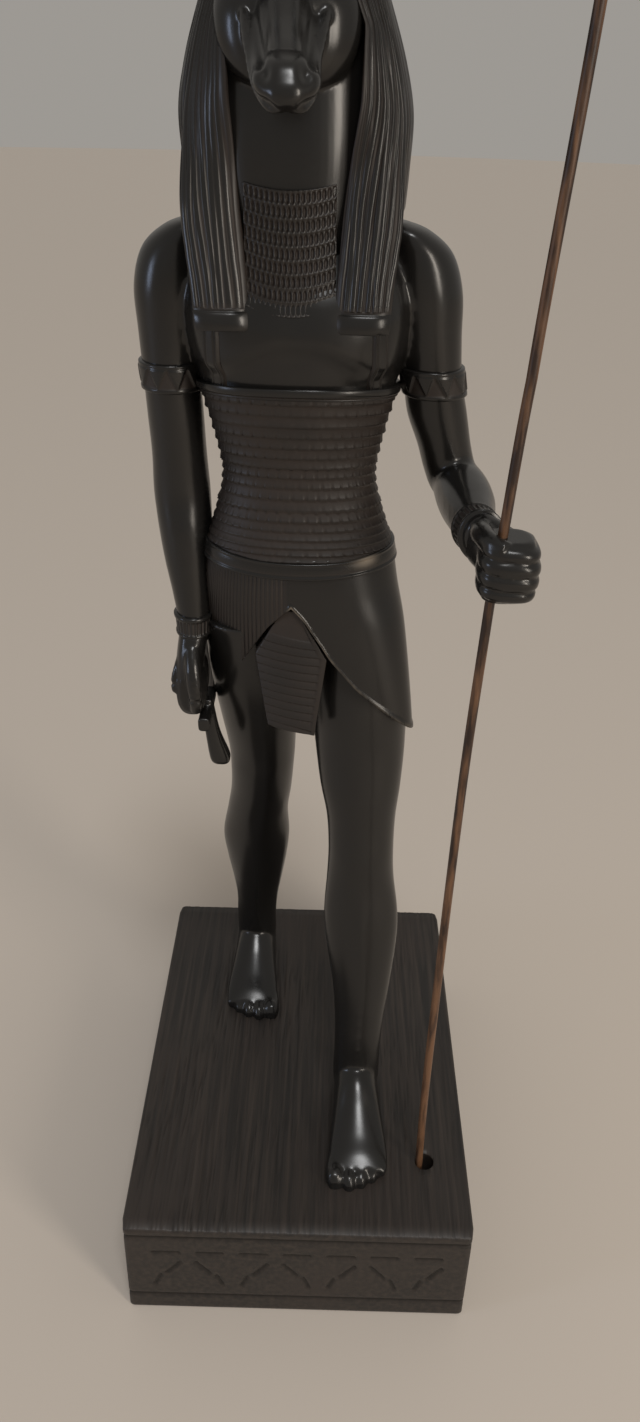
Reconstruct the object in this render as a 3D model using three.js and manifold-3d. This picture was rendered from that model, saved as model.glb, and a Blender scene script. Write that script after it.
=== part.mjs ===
// A cast statuette of the Egyptian god Seth: a striding man with the long-snouted Seth animal's head,
// a staff through his left fist and an ankh in his right, on a plinth with a wood-grained top.
// Millimetres, +Z up. The origin is the middle of the plinth's underside and the figure faces -Y.
import * as THREE from "three";
import { mergeVertices } from "three/addons/utils/BufferGeometryUtils.js";
import Module from "manifold-3d";

const wasm = await Module();
wasm.setup();

// Driving dimensions
const PLINTH = { width: 150, depth: 208, height: 55, corner: 3 };
const GROOVES = { upper: 50, lower: 10, half: 1.2, cut: 0.9 };
const INSCRIPTION = { low: 16, high: 43, half: 66, signs: 7, cut: 0.7, stroke: 1.5 };
const STAFF = { radius: 1.65, y: -66.5, foot: -20, top: 503 };
const STAFF_RUN = [[-20, 53.9], [40, 53.1], [100, 53.4], [160, 54], [218, 55], [277, 57.1], [304, 59.1],
  [348, 61.9], [427, 66.8], [503, 71.2]];
const SOCKET = { radius: 4.2, floor: 32, x: 56, y: -66.5 };
const CLEARANCE = 0.35;
const SLIVER = 0.01;

// The casting leans a little to its right: sideways shift at the soles, and more for each millimetre of height
const LEAN = { atSole: -0.4, perHeight: 0.0225 };

// Levels of the dress, as heights above the soles
const BELT = { low: 261.6, high: 268.2, rise: 2.8, proud: 2.2 };
const CORSET = { low: 266, high: 332.2, sideDrop: 3.2, rows: 8, proud: 1.3, shingle: 0.7 };
const TOP_BAND = { depth: 3.7, proud: 1.9 };
const HEM = { reach: 43.5, back: 190 };
const HEM_LINE = [[-43.5, 191], [-33, 201], [-24, 221], [-12.6, 240], [-2.5, 250], [2, 243.7], [10.4, 228.8],
  [20.6, 216.3], [31.8, 206.5], [43.5, 196]];
const COLLAR = { low: 355.5, high: 392, x: -1.6, half: 14.6, rows: 6, row: 0.5 };
const COLLAR_FACE = [[354, -23.8], [366, -21], [378, -20], [392, -20]];
const FACE_OPENING = [[350, 13.4], [366, 14.4], [384, 16], [403, 18], [416, 19.8], [436, 20.5], [447, 16], [454, 2]];
const LAPPET = {
  end: 350.8,
  shift: 1.2,
  outer: [[350, 31.4], [366, 33], [380, 34.8], [390, 35.4], [410, 36.4]],
  front: [[350, -24.4], [366, -22.2], [384, -18.6], [400, -16], [415, -14.6]],
};
const TAIL = { half: [[350, 21], [372, 26], [390, 31]], back: [[350, 39], [372, 39.5], [396, 42]], drop: 12 };
const LOCK = 0.6;

const X = new THREE.Vector3(1, 0, 0);
const FORWARD = new THREE.Vector3(0, -1, 0);
const UP = new THREE.Vector3(0, 0, 1);
const QUARTER = Math.PI / 2;
const FRONT = QUARTER;

const { lerp, clamp, smoothstep } = THREE.MathUtils;
const bump = (value, centre, width) => Math.exp(-(((value - centre) / width) ** 2));
const turn = (angle) => Math.atan2(Math.sin(angle), Math.cos(angle));
const plain = () => 0;

// A closed cylinder whose points are moved by place(angle, share of the length, at the rim or not)
function form(around, rings, place) {
  const geometry = new THREE.CylinderGeometry(1, 1, 1, around, rings);
  const points = geometry.getAttribute("position");
  const point = new THREE.Vector3();
  for (let i = 0; i < points.count; i++) {
    point.fromBufferAttribute(points, i);
    const atRim = Math.hypot(point.x, point.z) > 0.5;
    const placed = place(Math.atan2(point.z, point.x), 0.5 - point.y, atRim);
    points.setXYZ(i, placed.x, placed.y, placed.z);
  }
  return geometry;
}

function solid(geometry) {
  geometry.deleteAttribute("normal");
  geometry.deleteAttribute("uv");
  const merged = mergeVertices(geometry, 1e-3);
  const made = new wasm.Manifold(
    new wasm.Mesh({
      numProp: 3,
      vertProperties: merged.getAttribute("position").array,
      triVerts: new Uint32Array(merged.index.array),
    }),
  );
  if (made.volume() > 0) return made;
  const flipped = new Uint32Array(merged.index.array);
  for (let i = 0; i < flipped.length; i += 3) {
    [flipped[i], flipped[i + 1]] = [flipped[i + 1], flipped[i]];
  }
  return new wasm.Manifold(
    new wasm.Mesh({ numProp: 3, vertProperties: merged.getAttribute("position").array, triVerts: flipped }),
  );
}

function geometryOf(manifold) {
  const { vertProperties, triVerts } = manifold.getMesh();
  const geometry = new THREE.BufferGeometry();
  geometry.setAttribute("position", new THREE.BufferAttribute(vertProperties, 3));
  geometry.setIndex(new THREE.BufferAttribute(triVerts, 1));
  const faceted = geometry.toNonIndexed();
  faceted.computeVertexNormals();
  return faceted;
}

// Joins closed geometries into one solid, without the slivers that a join leaves
const union = (geometries) => geometries.map(solid).reduce((all, one) => all.add(one)).setTolerance(SLIVER);

// A limb is a smooth run of stations. Upright stations are [height, x, y, half width, fore, aft] with level
// rings; forward ones are [y, x, height, half width, up, down] with rings that face forward.
function limb(stations, { forward = false, square = 2, twists = null } = {}) {
  const centre = ([a, x, b]) => (forward ? new THREE.Vector3(x, a, b) : new THREE.Vector3(x, b, a));
  const curve = (points) => new THREE.CatmullRomCurve3(points, false, "catmullrom", 0.5);
  const path = curve(stations.map(centre));
  const sizes = curve(stations.map(([, , , half, near, far]) => new THREE.Vector3(half, near, far)));
  const twisting = twists && curve(twists.map((t) => new THREE.Vector3(t, 0, 0)));
  const flat = 2 / square;
  return {
    count: stations.length - 1,
    width: (t) => sizes.getPoint(t).x,
    at(angle, t, raise, atRim = true) {
      const middle = path.getPoint(t);
      if (!atRim) return middle;
      const size = sizes.getPoint(t);
      const c = Math.cos(angle);
      const s = Math.sin(angle);
      const depth = s > 0 ? size.y : size.z;
      const across = Math.sign(c) * Math.abs(c) ** flat * (size.x + raise);
      const deep = Math.sign(s) * Math.abs(s) ** flat * (depth + raise);
      const near = forward ? UP : FORWARD;
      const slide = twisting ? twisting.getPoint(t).x * across : 0;
      return middle.addScaledVector(X, across).addScaledVector(near, deep).add(new THREE.Vector3(0, slide, 0));
    },
  };
}

// The solid of a limb between two shares of its length, which may change with the angle, raised by a relief
function loft(body, { around = 16, rings = body.count, from = plain, to = () => 1, raise = plain } = {}) {
  return form(around, rings, (angle, share, atRim) => {
    const start = from(angle);
    const t = clamp(start + (to(angle) - start) * share, 0, 1);
    return body.at(angle, t, raise(angle, t, share), atRim);
  });
}

// The share of an upright run of stations at which a height is reached
function shareAt(stations, height) {
  for (let i = 0; i < stations.length - 1; i++) {
    const [a, b] = [stations[i][0], stations[i + 1][0]];
    if ((height - a) * (height - b) <= 0) return (i + (height - a) / (b - a)) / (stations.length - 1);
  }
  throw new Error("no station at height " + height);
}

// A plate bent onto a limb's surface: place(u, v, w) takes shares from 0 to 1, w being 1 outside
function plate(columns, rows, place) {
  const geometry = new THREE.BoxGeometry(1, 1, 1, columns, rows, 1);
  const points = geometry.getAttribute("position");
  for (let i = 0; i < points.count; i++) {
    const placed = place(points.getX(i) + 0.5, points.getY(i) + 0.5, points.getZ(i) + 0.5);
    points.setXYZ(i, placed.x, placed.y, placed.z);
  }
  return geometry;
}

// A tube of changing radius through a list of [x, y, z, radius]
function finger(points, around = 8, perSpan = 2, flat = 1) {
  const curve = (list) => new THREE.CatmullRomCurve3(list, false, "catmullrom", 0.5);
  const path = curve(points.map(([x, y, z]) => new THREE.Vector3(x, y, z)));
  const radii = curve(points.map(([, , , r]) => new THREE.Vector3(r, 0, 0)));
  const reference = new THREE.Vector3(0.02, 0.03, 1).normalize();
  return form(around, (points.length - 1) * perSpan, (angle, t, atRim) => {
    const point = path.getPoint(t);
    if (!atRim) return point;
    const tangent = path.getTangent(t);
    const side = new THREE.Vector3().crossVectors(tangent, reference).normalize();
    const over = new THREE.Vector3().crossVectors(side, tangent);
    const r = radii.getPoint(t).x;
    return point.addScaledVector(side, r * Math.cos(angle)).addScaledVector(over, r * flat * Math.sin(angle));
  });
}

const TORSO = [
  [255, 0, 5, 35.5, 22, 28],
  [262, 0, 5, 35, 21.5, 28],
  [270, 0, 5, 34, 21, 26],
  [281, 0, 5, 30.3, 19.5, 22],
  [296, 0, 5, 27, 18.5, 19.5],
  [310, 0, 5, 29.3, 21, 22],
  [325, 0, 5, 33.3, 25, 26],
  [340, 0, 5, 37.5, 28, 29],
  [355, 0, 5, 39.5, 27.5, 30],
  [367, 0, 5, 37, 23, 27],
  [377, 0, 5, 29, 18.5, 23],
  [386, 0, 5, 20, 16.5, 18],
  [398, 0, 4, 16.5, 15.5, 16],
  [415, 0, 2, 15.5, 15, 16],
  [430, 0, 0, 15, 14, 16],
];
const torso = limb(TORSO, { square: 2.2 });
const chestBulge = (angle, height) => {
  const side = Math.abs(turn(angle - FRONT));
  return 3 * bump(side, 0.62, 0.4) * bump(height, 345, 9) - 0.8 * bump(side, 0, 0.14) * bump(height, 342, 16);
};
const torsoHeight = (t) => {
  const place = t * (TORSO.length - 1);
  const i = Math.min(Math.floor(place), TORSO.length - 2);
  return lerp(TORSO[i][0], TORSO[i + 1][0], place - i);
};

function torsoSolid() {
  return loft(torso, {
    around: 24,
    rings: 7,
    from: () => shareAt(TORSO, CORSET.high - 6),
    raise: (angle, t) => chestBulge(angle, torsoHeight(t)),
  });
}

// Rows of scales, each row swelling towards its lower edge like a course of tiles
function corsetSolids() {
  const low = shareAt(TORSO, CORSET.low);
  const top = (angle) => {
    const aside = 1 - Math.max(0, Math.sin(angle));
    return shareAt(TORSO, CORSET.high - CORSET.sideDrop * aside);
  };
  const bandDepth = shareAt(TORSO, CORSET.high) - shareAt(TORSO, CORSET.high - TOP_BAND.depth);
  const swell = (share) => (Math.round(share * CORSET.rows * 2) % 2 ? 0 : CORSET.shingle);
  const body = loft(torso, {
    around: 28,
    rings: CORSET.rows * 2,
    from: () => low,
    to: (angle) => top(angle) - bandDepth / 2,
    raise: (angle, t, share) => CORSET.proud + swell(share),
  });
  const band = loft(torso, {
    around: 28,
    rings: 2,
    from: (angle) => top(angle) - bandDepth,
    to: top,
    raise: (angle, t, share) => TOP_BAND.proud + 0.5 * Math.sin(Math.PI * share),
  });
  return [body, band, strap(1), strap(-1)];
}

// A shoulder strap runs from the corset's top band up under the wig
function strap(side) {
  const STRAP = { inner: 23.6, outer: 28.6, high: 357, proud: 1 };
  return plate(1, 3, (u, v, w) => {
    const height = lerp(CORSET.high - 4, STRAP.high, v);
    const x = lerp(STRAP.inner, STRAP.outer, u);
    return onChest(side * x, height, lerp(-2, STRAP.proud, w));
  });
}

// The point of the chest at a sideways distance and height, lifted off the surface
function onChest(x, height, lift) {
  const t = shareAt(TORSO, height);
  const wide = torso.at(0, t, 0).x;
  let angle = Math.acos(clamp(x / wide, -0.98, 0.98));
  for (let i = 0; i < 6; i++) {
    const there = torso.at(angle, t, 0).x;
    angle += (there - x) / (wide * Math.max(0.25, Math.sin(angle)));
  }
  return torso.at(angle, t, chestBulge(angle, height) + lift);
}

function collarSolid() {
  return plate(4, COLLAR.rows * 2, (u, v, w) => {
    const across = 2 * u - 1;
    const height = lerp(COLLAR.low + 3 * across ** 2, COLLAR.high + 2 * across ** 2, v);
    const row = Math.round(v * COLLAR.rows * 2) % 2 ? 0 : COLLAR.row;
    const curve = lerp(1.6, 4.2, v) * across ** 2;
    const face = readAt(COLLAR_FACE, height) + curve;
    return new THREE.Vector3(COLLAR.x + across * COLLAR.half, lerp(face + 6, face - row, w), height);
  });
}

const KILT = [
  [269, 0, 5, 35.5, 22, 28],
  [255, 0, 5, 37.5, 23, 31],
  [240, 0.5, 6, 40, 23.5, 32],
  [220, 1, 7.5, 42, 23.5, 32],
  [200, 1.5, 9, 43.5, 23, 30],
  [184, 1.5, 10, 44.5, 22.5, 28],
];
const KILT_TWISTS = [0, -0.05, -0.15, -0.27, -0.37, -0.43];
const kilt = limb(KILT, { square: 2.15, twists: KILT_TWISTS });

// Reads a list of [place, value] at a place, straight between its points
function readAt(list, place) {
  let i = 0;
  while (i < list.length - 2 && place > list[i + 1][0]) i++;
  const [[a, from], [b, to]] = [list[i], list[i + 1]];
  return lerp(from, to, clamp((place - a) / (b - a), 0, 1));
}

// The hem is an upturned V in front, where the two sides of the kilt cross, and nearly level behind
function hemHeight(angle) {
  const line = readAt(HEM_LINE, HEM.reach * Math.cos(angle));
  return Math.sin(angle) > 0 ? line : lerp(line, HEM.back, clamp(-2 * Math.sin(angle), 0, 1));
}

// Pleats stand on the wearer's right, from the crossing round to behind the hand
function pleatRelief(angle, around) {
  const PLEATS = { first: FRONT + 0.1, last: Math.PI + 0.5, proud: 0.8 };
  const along = angle < 0 ? angle + 2 * Math.PI : angle;
  if (along < PLEATS.first || along > PLEATS.last) return 0;
  return Math.round((along * around) / (2 * Math.PI)) % 2 ? PLEATS.proud : -0.3;
}

function kiltSolid() {
  const around = 64;
  return loft(kilt, {
    around,
    rings: 3,
    to: (angle) => shareAt(KILT, hemHeight(angle)),
    raise: (angle, t, share) => pleatRelief(angle, around) * smoothstep(share, 0, 0.3),
  });
}

function beltSolid() {
  const rise = (angle) => BELT.rise * Math.cos(angle) ** 2;
  return loft(torso, {
    around: 28,
    rings: 2,
    from: (angle) => shareAt(TORSO, BELT.low + rise(angle)),
    to: (angle) => shareAt(TORSO, BELT.high + rise(angle)),
    raise: (angle, t, share) => BELT.proud + 0.5 * Math.sin(Math.PI * share),
  });
}

// The apron hangs from under the kilt's crossing, widens to its shoulders and narrows to its bottom edge
function apronSolid() {
  const APRON = { x: -3.2, apex: 248, shoulder: 228.5, bottom: 197.5, half: 13.9, foot: 9.2, fold: 0.7, pleats: 11 };
  const halfAt = (height) =>
    height > APRON.shoulder
      ? lerp(3, APRON.half, (APRON.apex - height) / (APRON.apex - APRON.shoulder))
      : lerp(APRON.half, APRON.foot, (APRON.shoulder - height) / (APRON.shoulder - APRON.bottom));
  const steps = APRON.pleats * 2 + 6;
  return plate(1, steps, (u, v, w) => {
    const height = lerp(APRON.bottom, APRON.apex, v);
    const x = APRON.x + (2 * u - 1) * halfAt(height);
    const step = Math.round(v * steps);
    const fold = step < APRON.pleats * 2 && step % 2 ? APRON.fold : 0;
    const face = lerp(-19.5, -16, v) - 0.16 * (x - APRON.x) + 0.012 * (x - APRON.x) ** 2;
    return new THREE.Vector3(x, lerp(face + 6, face - fold, w), height);
  });
}

const RIGHT_ARM = [
  [382, -33, 5, 3, 6, 7],
  [379, -37, 5.5, 7.5, 11, 12],
  [372, -41.5, 6, 11, 13, 14],
  [360, -43.6, 6, 12.6, 13.5, 14],
  [345, -44.8, 6.5, 11.2, 12.5, 13],
  [330, -45.3, 7, 10.2, 12, 12.5],
  [315, -45, 8, 10.2, 11.5, 12],
  [300, -44.7, 9, 10.2, 11, 11.5],
  [286, -44.6, 9.5, 10.7, 11, 11.5],
  [273, -44, 8, 10.3, 11.5, 10.5],
  [260, -43.3, 6, 9.3, 10.5, 9.5],
  [247, -42.6, 4, 7.6, 9, 8.5],
  [235, -42.2, 2.5, 6.3, 8, 7.5],
  [226, -42.4, 2, 5.8, 8.5, 8],
];
const LEFT_UPPER_ARM = [
  [382, 33, 5, 3, 6, 7],
  [379, 37, 5.5, 7.5, 11, 12],
  [372, 41.6, 6, 11, 13, 14],
  [360, 43.9, 6, 12.6, 13.5, 14],
  [345, 46, 6.5, 11.2, 12.5, 13],
  [331, 47.9, 8, 10.5, 12, 12.5],
  [318, 50.2, 9.5, 11, 11.5, 12],
  [306, 53.6, 11, 10, 11, 11.5],
  [296, 56.4, 12.5, 9.8, 10.5, 11],
  [288, 58.4, 13, 8.5, 9, 9.5],
  [283, 59, 12.5, 4, 5, 5],
];
const LEFT_FOREARM = [
  [22, 59.5, 291, 4, 5, 5],
  [14, 59.5, 291, 8.8, 9, 8.8],
  [0, 60.3, 291, 10.2, 10.5, 9.8],
  [-14, 60.8, 291, 10, 10, 9.8],
  [-28, 60.8, 291.5, 8.3, 8.6, 8.6],
  [-40, 61, 292, 6.9, 7.6, 7.8],
  [-50, 63, 292, 6.6, 8.5, 8.5],
];

// A band round a limb with a raised edge above and below
function bandSolid(body, stations, start, end, proud) {
  const ends = [shareAt(stations, start), shareAt(stations, end)];
  return loft(body, {
    around: 12,
    rings: 3,
    from: () => ends[0],
    to: () => ends[1],
    raise: (angle, t, share) => proud + (share < 0.1 || share > 0.9 ? 0.4 : 0),
  });
}

function armSolids() {
  const right = limb(RIGHT_ARM);
  const upper = limb(LEFT_UPPER_ARM);
  const fore = limb(LEFT_FOREARM, { forward: true });
  return [
    loft(right, { around: 12 }),
    loft(upper, { around: 12 }),
    loft(fore, { around: 12 }),
    bandSolid(right, RIGHT_ARM, 335, 325, 1),
    bandSolid(upper, LEFT_UPPER_ARM, 335, 325, 1),
    bandSolid(right, RIGHT_ARM, 239, 230.5, 0.9),
    bandSolid(fore, LEFT_FOREARM, -38, -47, 0.9),
  ];
}

// The right fist hangs with its thumb forward, its four fingers closed on the ankh from the outer side
function rightHandSolids() {
  const HAND = { pitch: 5.3, ridge: 0.8, lowest: 3.6 };
  const back = limb([
    [231, -42.4, 1.4, 5.6, 8.4, 8],
    [222, -43.8, 0.4, 5.6, 10, 9.6],
    [212, -45, 0, 5.4, 10.6, 10.6],
    [205, -45, 0, 4, 9.6, 9.6],
  ], { square: 2.6 });
  const fist = limb([
    [11.6, -44, 211, 4, 5, 7],
    [9, -44.2, 209.6, 6, 8, 11],
    [-6, -44, 208.2, 6.4, 8, 11.6],
    [-10.6, -43.6, 208.4, 5, 6, 9.6],
  ], { forward: true, square: 2.7 });
  const ridge = (angle, t) => {
    const along = Math.cos((t * 22.2 * 2 * Math.PI) / HAND.pitch);
    return Math.sin(angle) < 0.6 ? HAND.ridge * along : 0;
  };
  const thumb = finger([
    [-42.6, -6, 226, 3.2],
    [-42, -11, 218, 3.4],
    [-41.4, -12.8, 208, 3.1],
    [-41.8, -11.6, 200.5, 2.2],
  ], 6, 1);
  return [loft(back, { around: 12 }), loft(fist, { around: 12, rings: 8, raise: ridge }), thumb];
}

// The ankh's loop is inside the fist; its arms and its flaring stem show below
function ankhSolids() {
  const bar = limb([
    [-15, -38.6, 196, 2.4, 3.2, 3.2],
    [-10, -38.6, 196, 2.4, 2.6, 2.6],
    [8, -38.6, 196, 2.4, 2.6, 2.6],
    [13, -38.6, 196, 2.4, 3.2, 3.2],
  ], { forward: true, square: 4 });
  const stem = limb([
    [201, -38.6, -1, 2.4, 2.6, 2.6],
    [185, -37, 0, 3, 3.4, 3.4],
    [172, -34.6, 1.5, 4.2, 5, 5],
    [169, -34, 2, 3.4, 4.2, 4.2],
  ], { square: 3 });
  return [loft(bar, { around: 8 }), loft(stem, { around: 8 })];
}

// The left fist closes on the staff: its back faces out, and its four fingers cross in front of the staff
function leftHandSolids() {
  const HAND = { low: 280.4, high: 298.6, fingers: 4, groove: 1.1 };
  const back = finger([
    [62, -46, 291, 6],
    [66, -54, 290, 6.2],
    [71.5, -60, 289.6, 5.4],
    [74.4, -66, 289.6, 4.2],
  ], 8, 1, 1.6);
  const fist = limb([
    [HAND.low - 1, 68, -66.6, 7, 6.4, 6.4],
    [HAND.low + 1, 68.1, -66.8, 9, 8.6, 8.8],
    [289.5, 68.4, -67, 9.8, 9.6, 9.6],
    [HAND.high - 1, 68.3, -66.6, 9, 8.8, 9.4],
    [HAND.high + 1, 68, -66, 6.6, 6, 7],
  ], { square: 2.8 });
  const rings = HAND.fingers * 2;
  const ridge = (angle, t) => {
    const onFingers = smoothstep(Math.sin(angle), -0.5, 0.2);
    return Math.round(t * rings) % 2 ? 0.2 : -HAND.groove * onFingers;
  };
  const thumb = finger([
    [61, -52, 296, 4],
    [60.4, -61, 298, 3.7],
    [62, -69.5, 298.6, 3.2],
    [66.5, -74, 298, 2.6],
  ], 7, 1);
  return [back, loft(fist, { around: 12, rings, raise: ridge }), thumb];
}

const LEFT_LEG = [
  [236, 21, 9, 19, 20, 21],
  [207, 23.5, 3.5, 19.8, 20.5, 20],
  [184, 24.7, 0, 18.9, 18, 19],
  [165, 25.2, -4, 17.1, 16.5, 16.5],
  [150, 25.8, -7, 14.8, 15, 14],
  [135, 26, -10, 14.1, 14.2, 12],
  [121, 26, -12.2, 14.6, 13, 13.5],
  [103, 26.5, -16, 16.3, 12, 18],
  [88, 26.9, -18.7, 15.6, 11.5, 17.5],
  [66, 27.2, -23, 12.8, 10, 13],
  [50, 26.7, -26, 11.3, 9, 10.5],
  [34, 26, -29.4, 10.6, 8.4, 9.5],
  [18, 25.6, -32, 10.6, 9, 11],
  [8, 25.6, -33, 9, 8, 12],
];
const RIGHT_LEG = [
  [236, -20, 8, 19, 18, 21],
  [207, -20, 15, 18, 18, 19],
  [184, -19, 21, 16.5, 16.5, 17.5],
  [163, -18.3, 27, 14.9, 15, 15.5],
  [150, -18.7, 30, 14.3, 14.5, 13.5],
  [135, -19.8, 34, 14, 14, 12],
  [120, -22, 38, 14.3, 13, 13.5],
  [102, -23.5, 43, 16, 12, 17.5],
  [86, -23.9, 47, 14.8, 11, 16.5],
  [68, -24.4, 52, 12.5, 10, 13.5],
  [52, -25.2, 56.5, 10.7, 9, 10.5],
  [36, -26.2, 60.5, 10.2, 8.2, 9.5],
  [20, -26.6, 64, 10.2, 9, 11],
  [8, -26.8, 66, 9, 8, 12],
];

// A bare foot, flat on its sole; inner is +1 when the big toe is on the +X side
function footSolids(x, heel, inner) {
  const FOOT = [
    [0, 0, 8, 4, 6, 9],
    [-4, 0, 11, 8.5, 11, 13],
    [-14, 0, 14, 10, 15, 17],
    [-26, 0.2, 12, 10.6, 14.5, 16],
    [-37, 0.6, 8.5, 11.7, 10.5, 12],
    [-47, 0.8, 6, 12.8, 7, 9],
    [-54, 0.8, 4.6, 13, 5, 7],
    [-59, 0.8, 3.8, 12.4, 2.6, 5],
  ];
  const TOES = [[9.6, 3.9, 65, 7.6], [3.3, 2.8, 66, 6.2], [-2, 2.7, 64.5, 5.8], [-6.9, 2.5, 61.5, 5.4], [-11.2, 2.4, 57.5, 5]];
  const moved = FOOT.map(([y, dx, ...rest]) => [heel + y, x - inner * dx, ...rest]);
  const onFloor = (body) => ({
    count: body.count,
    at(...where) {
      const point = body.at(...where);
      point.z = Math.max(point.z, 0);
      return point;
    },
  });
  const sole = loft(onFloor(limb(moved, { forward: true })), { around: 10 });
  const toes = TOES.map(([aside, half, reach, tall]) => {
    const toe = limb([
      [heel - reach + 16, x + inner * aside * 0.93, tall * 0.55, half * 0.9, tall * 0.4, tall],
      [heel - reach + 8, x + inner * aside, tall * 0.5, half, tall * 0.42, tall],
      [heel - reach + 3, x + inner * aside, tall * 0.42, half, tall * 0.5, tall],
      [heel - reach, x + inner * aside, tall * 0.34, half * 0.55, tall * 0.22, tall],
    ], { forward: true });
    return loft(onFloor(toe), { around: 6, rings: 2 });
  });
  return [sole, ...toes];
}

function legSolids() {
  return [
    loft(limb(LEFT_LEG), { around: 12 }),
    loft(limb(RIGHT_LEG), { around: 12 }),
    ...footSolids(25.6, -17, -1),
    ...footSolids(-26.8, 82, 1),
  ];
}

// The Seth animal's head: cheeks and throat fill the wig's opening, and the snout droops forward from them
function headSolids() {
  const skull = limb([
    [16, -1.5, 440, 12, 14, 14],
    [4, -1.7, 440, 19, 19, 22],
    [-8, -1.8, 438, 22, 17, 21],
    [-15, -2, 436, 21, 15, 19],
    [-20, -2.2, 435, 16.5, 12, 15.5],
    [-23, -2.4, 434, 9, 8, 9],
  ], { forward: true, square: 2.3 });
  const snout = limb([
    [-10, -2.4, 437, 13, 12, 14],
    [-22, -2.6, 434, 12.2, 10, 13],
    [-35, -2, 427.5, 10.3, 7.6, 9.8],
    [-45, -1.4, 423.8, 9, 6.2, 8.4],
    [-53, -0.8, 422, 9.3, 6, 7.6],
    [-58, -0.6, 420.3, 8, 5.2, 6],
    [-61.5, -0.6, 418.6, 4.2, 2.8, 3],
    [-62.5, -0.6, 418.4, 2, 1.2, 1.4],
  ], { forward: true, square: 2.2 });
  const chin = (angle, t) => (t < 0.8 ? -1.3 * bump(Math.abs(turn(angle + FRONT)), 0.85, 0.35) : 0);
  const bridge = limb([
    [-8, -2.2, 449, 6.5, 4, 6],
    [-20, -2.5, 443.5, 5.6, 3, 6],
    [-34, -2, 434, 4.9, 3, 5],
    [-46, -1.3, 428, 4.9, 3, 4],
    [-52, -0.9, 426, 4, 1.6, 3],
  ], { forward: true, square: 2.8 });
  const throat = limb([
    [368, -1.2, 2, 18, 17, 16],
    [380, -1.3, 2, 19, 20, 16],
    [392, -1.6, 1, 20, 19.5, 16],
    [406, -1.8, 0, 20.5, 18.5, 16],
    [420, -1.9, 0, 20.5, 17.5, 16],
    [434, -1.8, 0, 20, 15, 16],
  ], { square: 2.6 });
  return [
    loft(skull, { around: 14 }),
    loft(snout, { around: 14, raise: chin }),
    loft(bridge, { around: 6 }),
    loft(throat, { around: 16 }),
    ...[-1, 1].flatMap(headSideSolids),
  ];
}

// One side's lip ridge, brow, eye and ear; the ear is tall, square-topped and hollow in front
function headSideSolids(side) {
  const middle = -2.2;
  const lip = finger([
    [middle + side * 12.4, -18, 440.6, 1.4],
    [middle + side * 11.4, -25, 435.4, 1.5],
    [middle + side * 9.6, -36, 427.3, 1.4],
    [middle + 1 + side * 8, -48, 419.8, 1.3],
    [middle + 1.5 + side * 4.8, -56.5, 415.2, 1.1],
    [middle + 1.6 + side * 0.8, -58.4, 414.9, 1],
  ], 5, 1);
  const brow = finger([
    [middle + side * 7, -19, 448, 1.2],
    [middle + side * 13, -18.5, 449.5, 1.7],
    [middle + side * 19.5, -13, 446.5, 1.2],
  ], 5, 1);
  const eye = new THREE.SphereGeometry(1, 7, 5);
  eye.scale(5, 3.2, 2.7);
  eye.rotateZ(side * 0.45);
  eye.translate(middle + side * 15, -15.4, 443);
  const ear = limb([
    [452, side * 11, 2, 4, 3, 4],
    [470, side * 12.6, 3, 5, 3.2, 3.6],
    [495, side * 14.4, 4.5, 6.2, 3, 3],
    [515, side * 15.8, 6, 7, 2.6, 2.6],
    [523, side * 16.4, 6.8, 7, 2.2, 2.2],
  ], { square: 2.6 });
  const hollow = (angle) => -2.4 * bump(turn(angle - FRONT), 0, 0.55);
  return [lip, brow, eye, loft(ear, { around: 10, rings: 3, raise: hollow })];
}

const WIG = [
  [471, 0, 8, 5, 5, 7],
  [467, 0, 8, 14, 14, 19],
  [457, 0, 8, 23, 20, 29],
  [442, 0, 8, 29, 25, 33],
  [427, 0, 8, 34, 28, 35.5],
  [413, 0, 8, 36.8, 29, 36],
  [398, 0, 8, 36.2, 29.5, 35],
  [384, 0, 8, 35, 29, 34],
  [372, 0, 8, 33.5, 29, 32],
  [350, 0, 8, 32, 29, 31],
];
const WIG_RINGS = [471, 467, 458, 444, 429, 414, 400, 386, 370, 357.4, 356.6, LAPPET.end];

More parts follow.
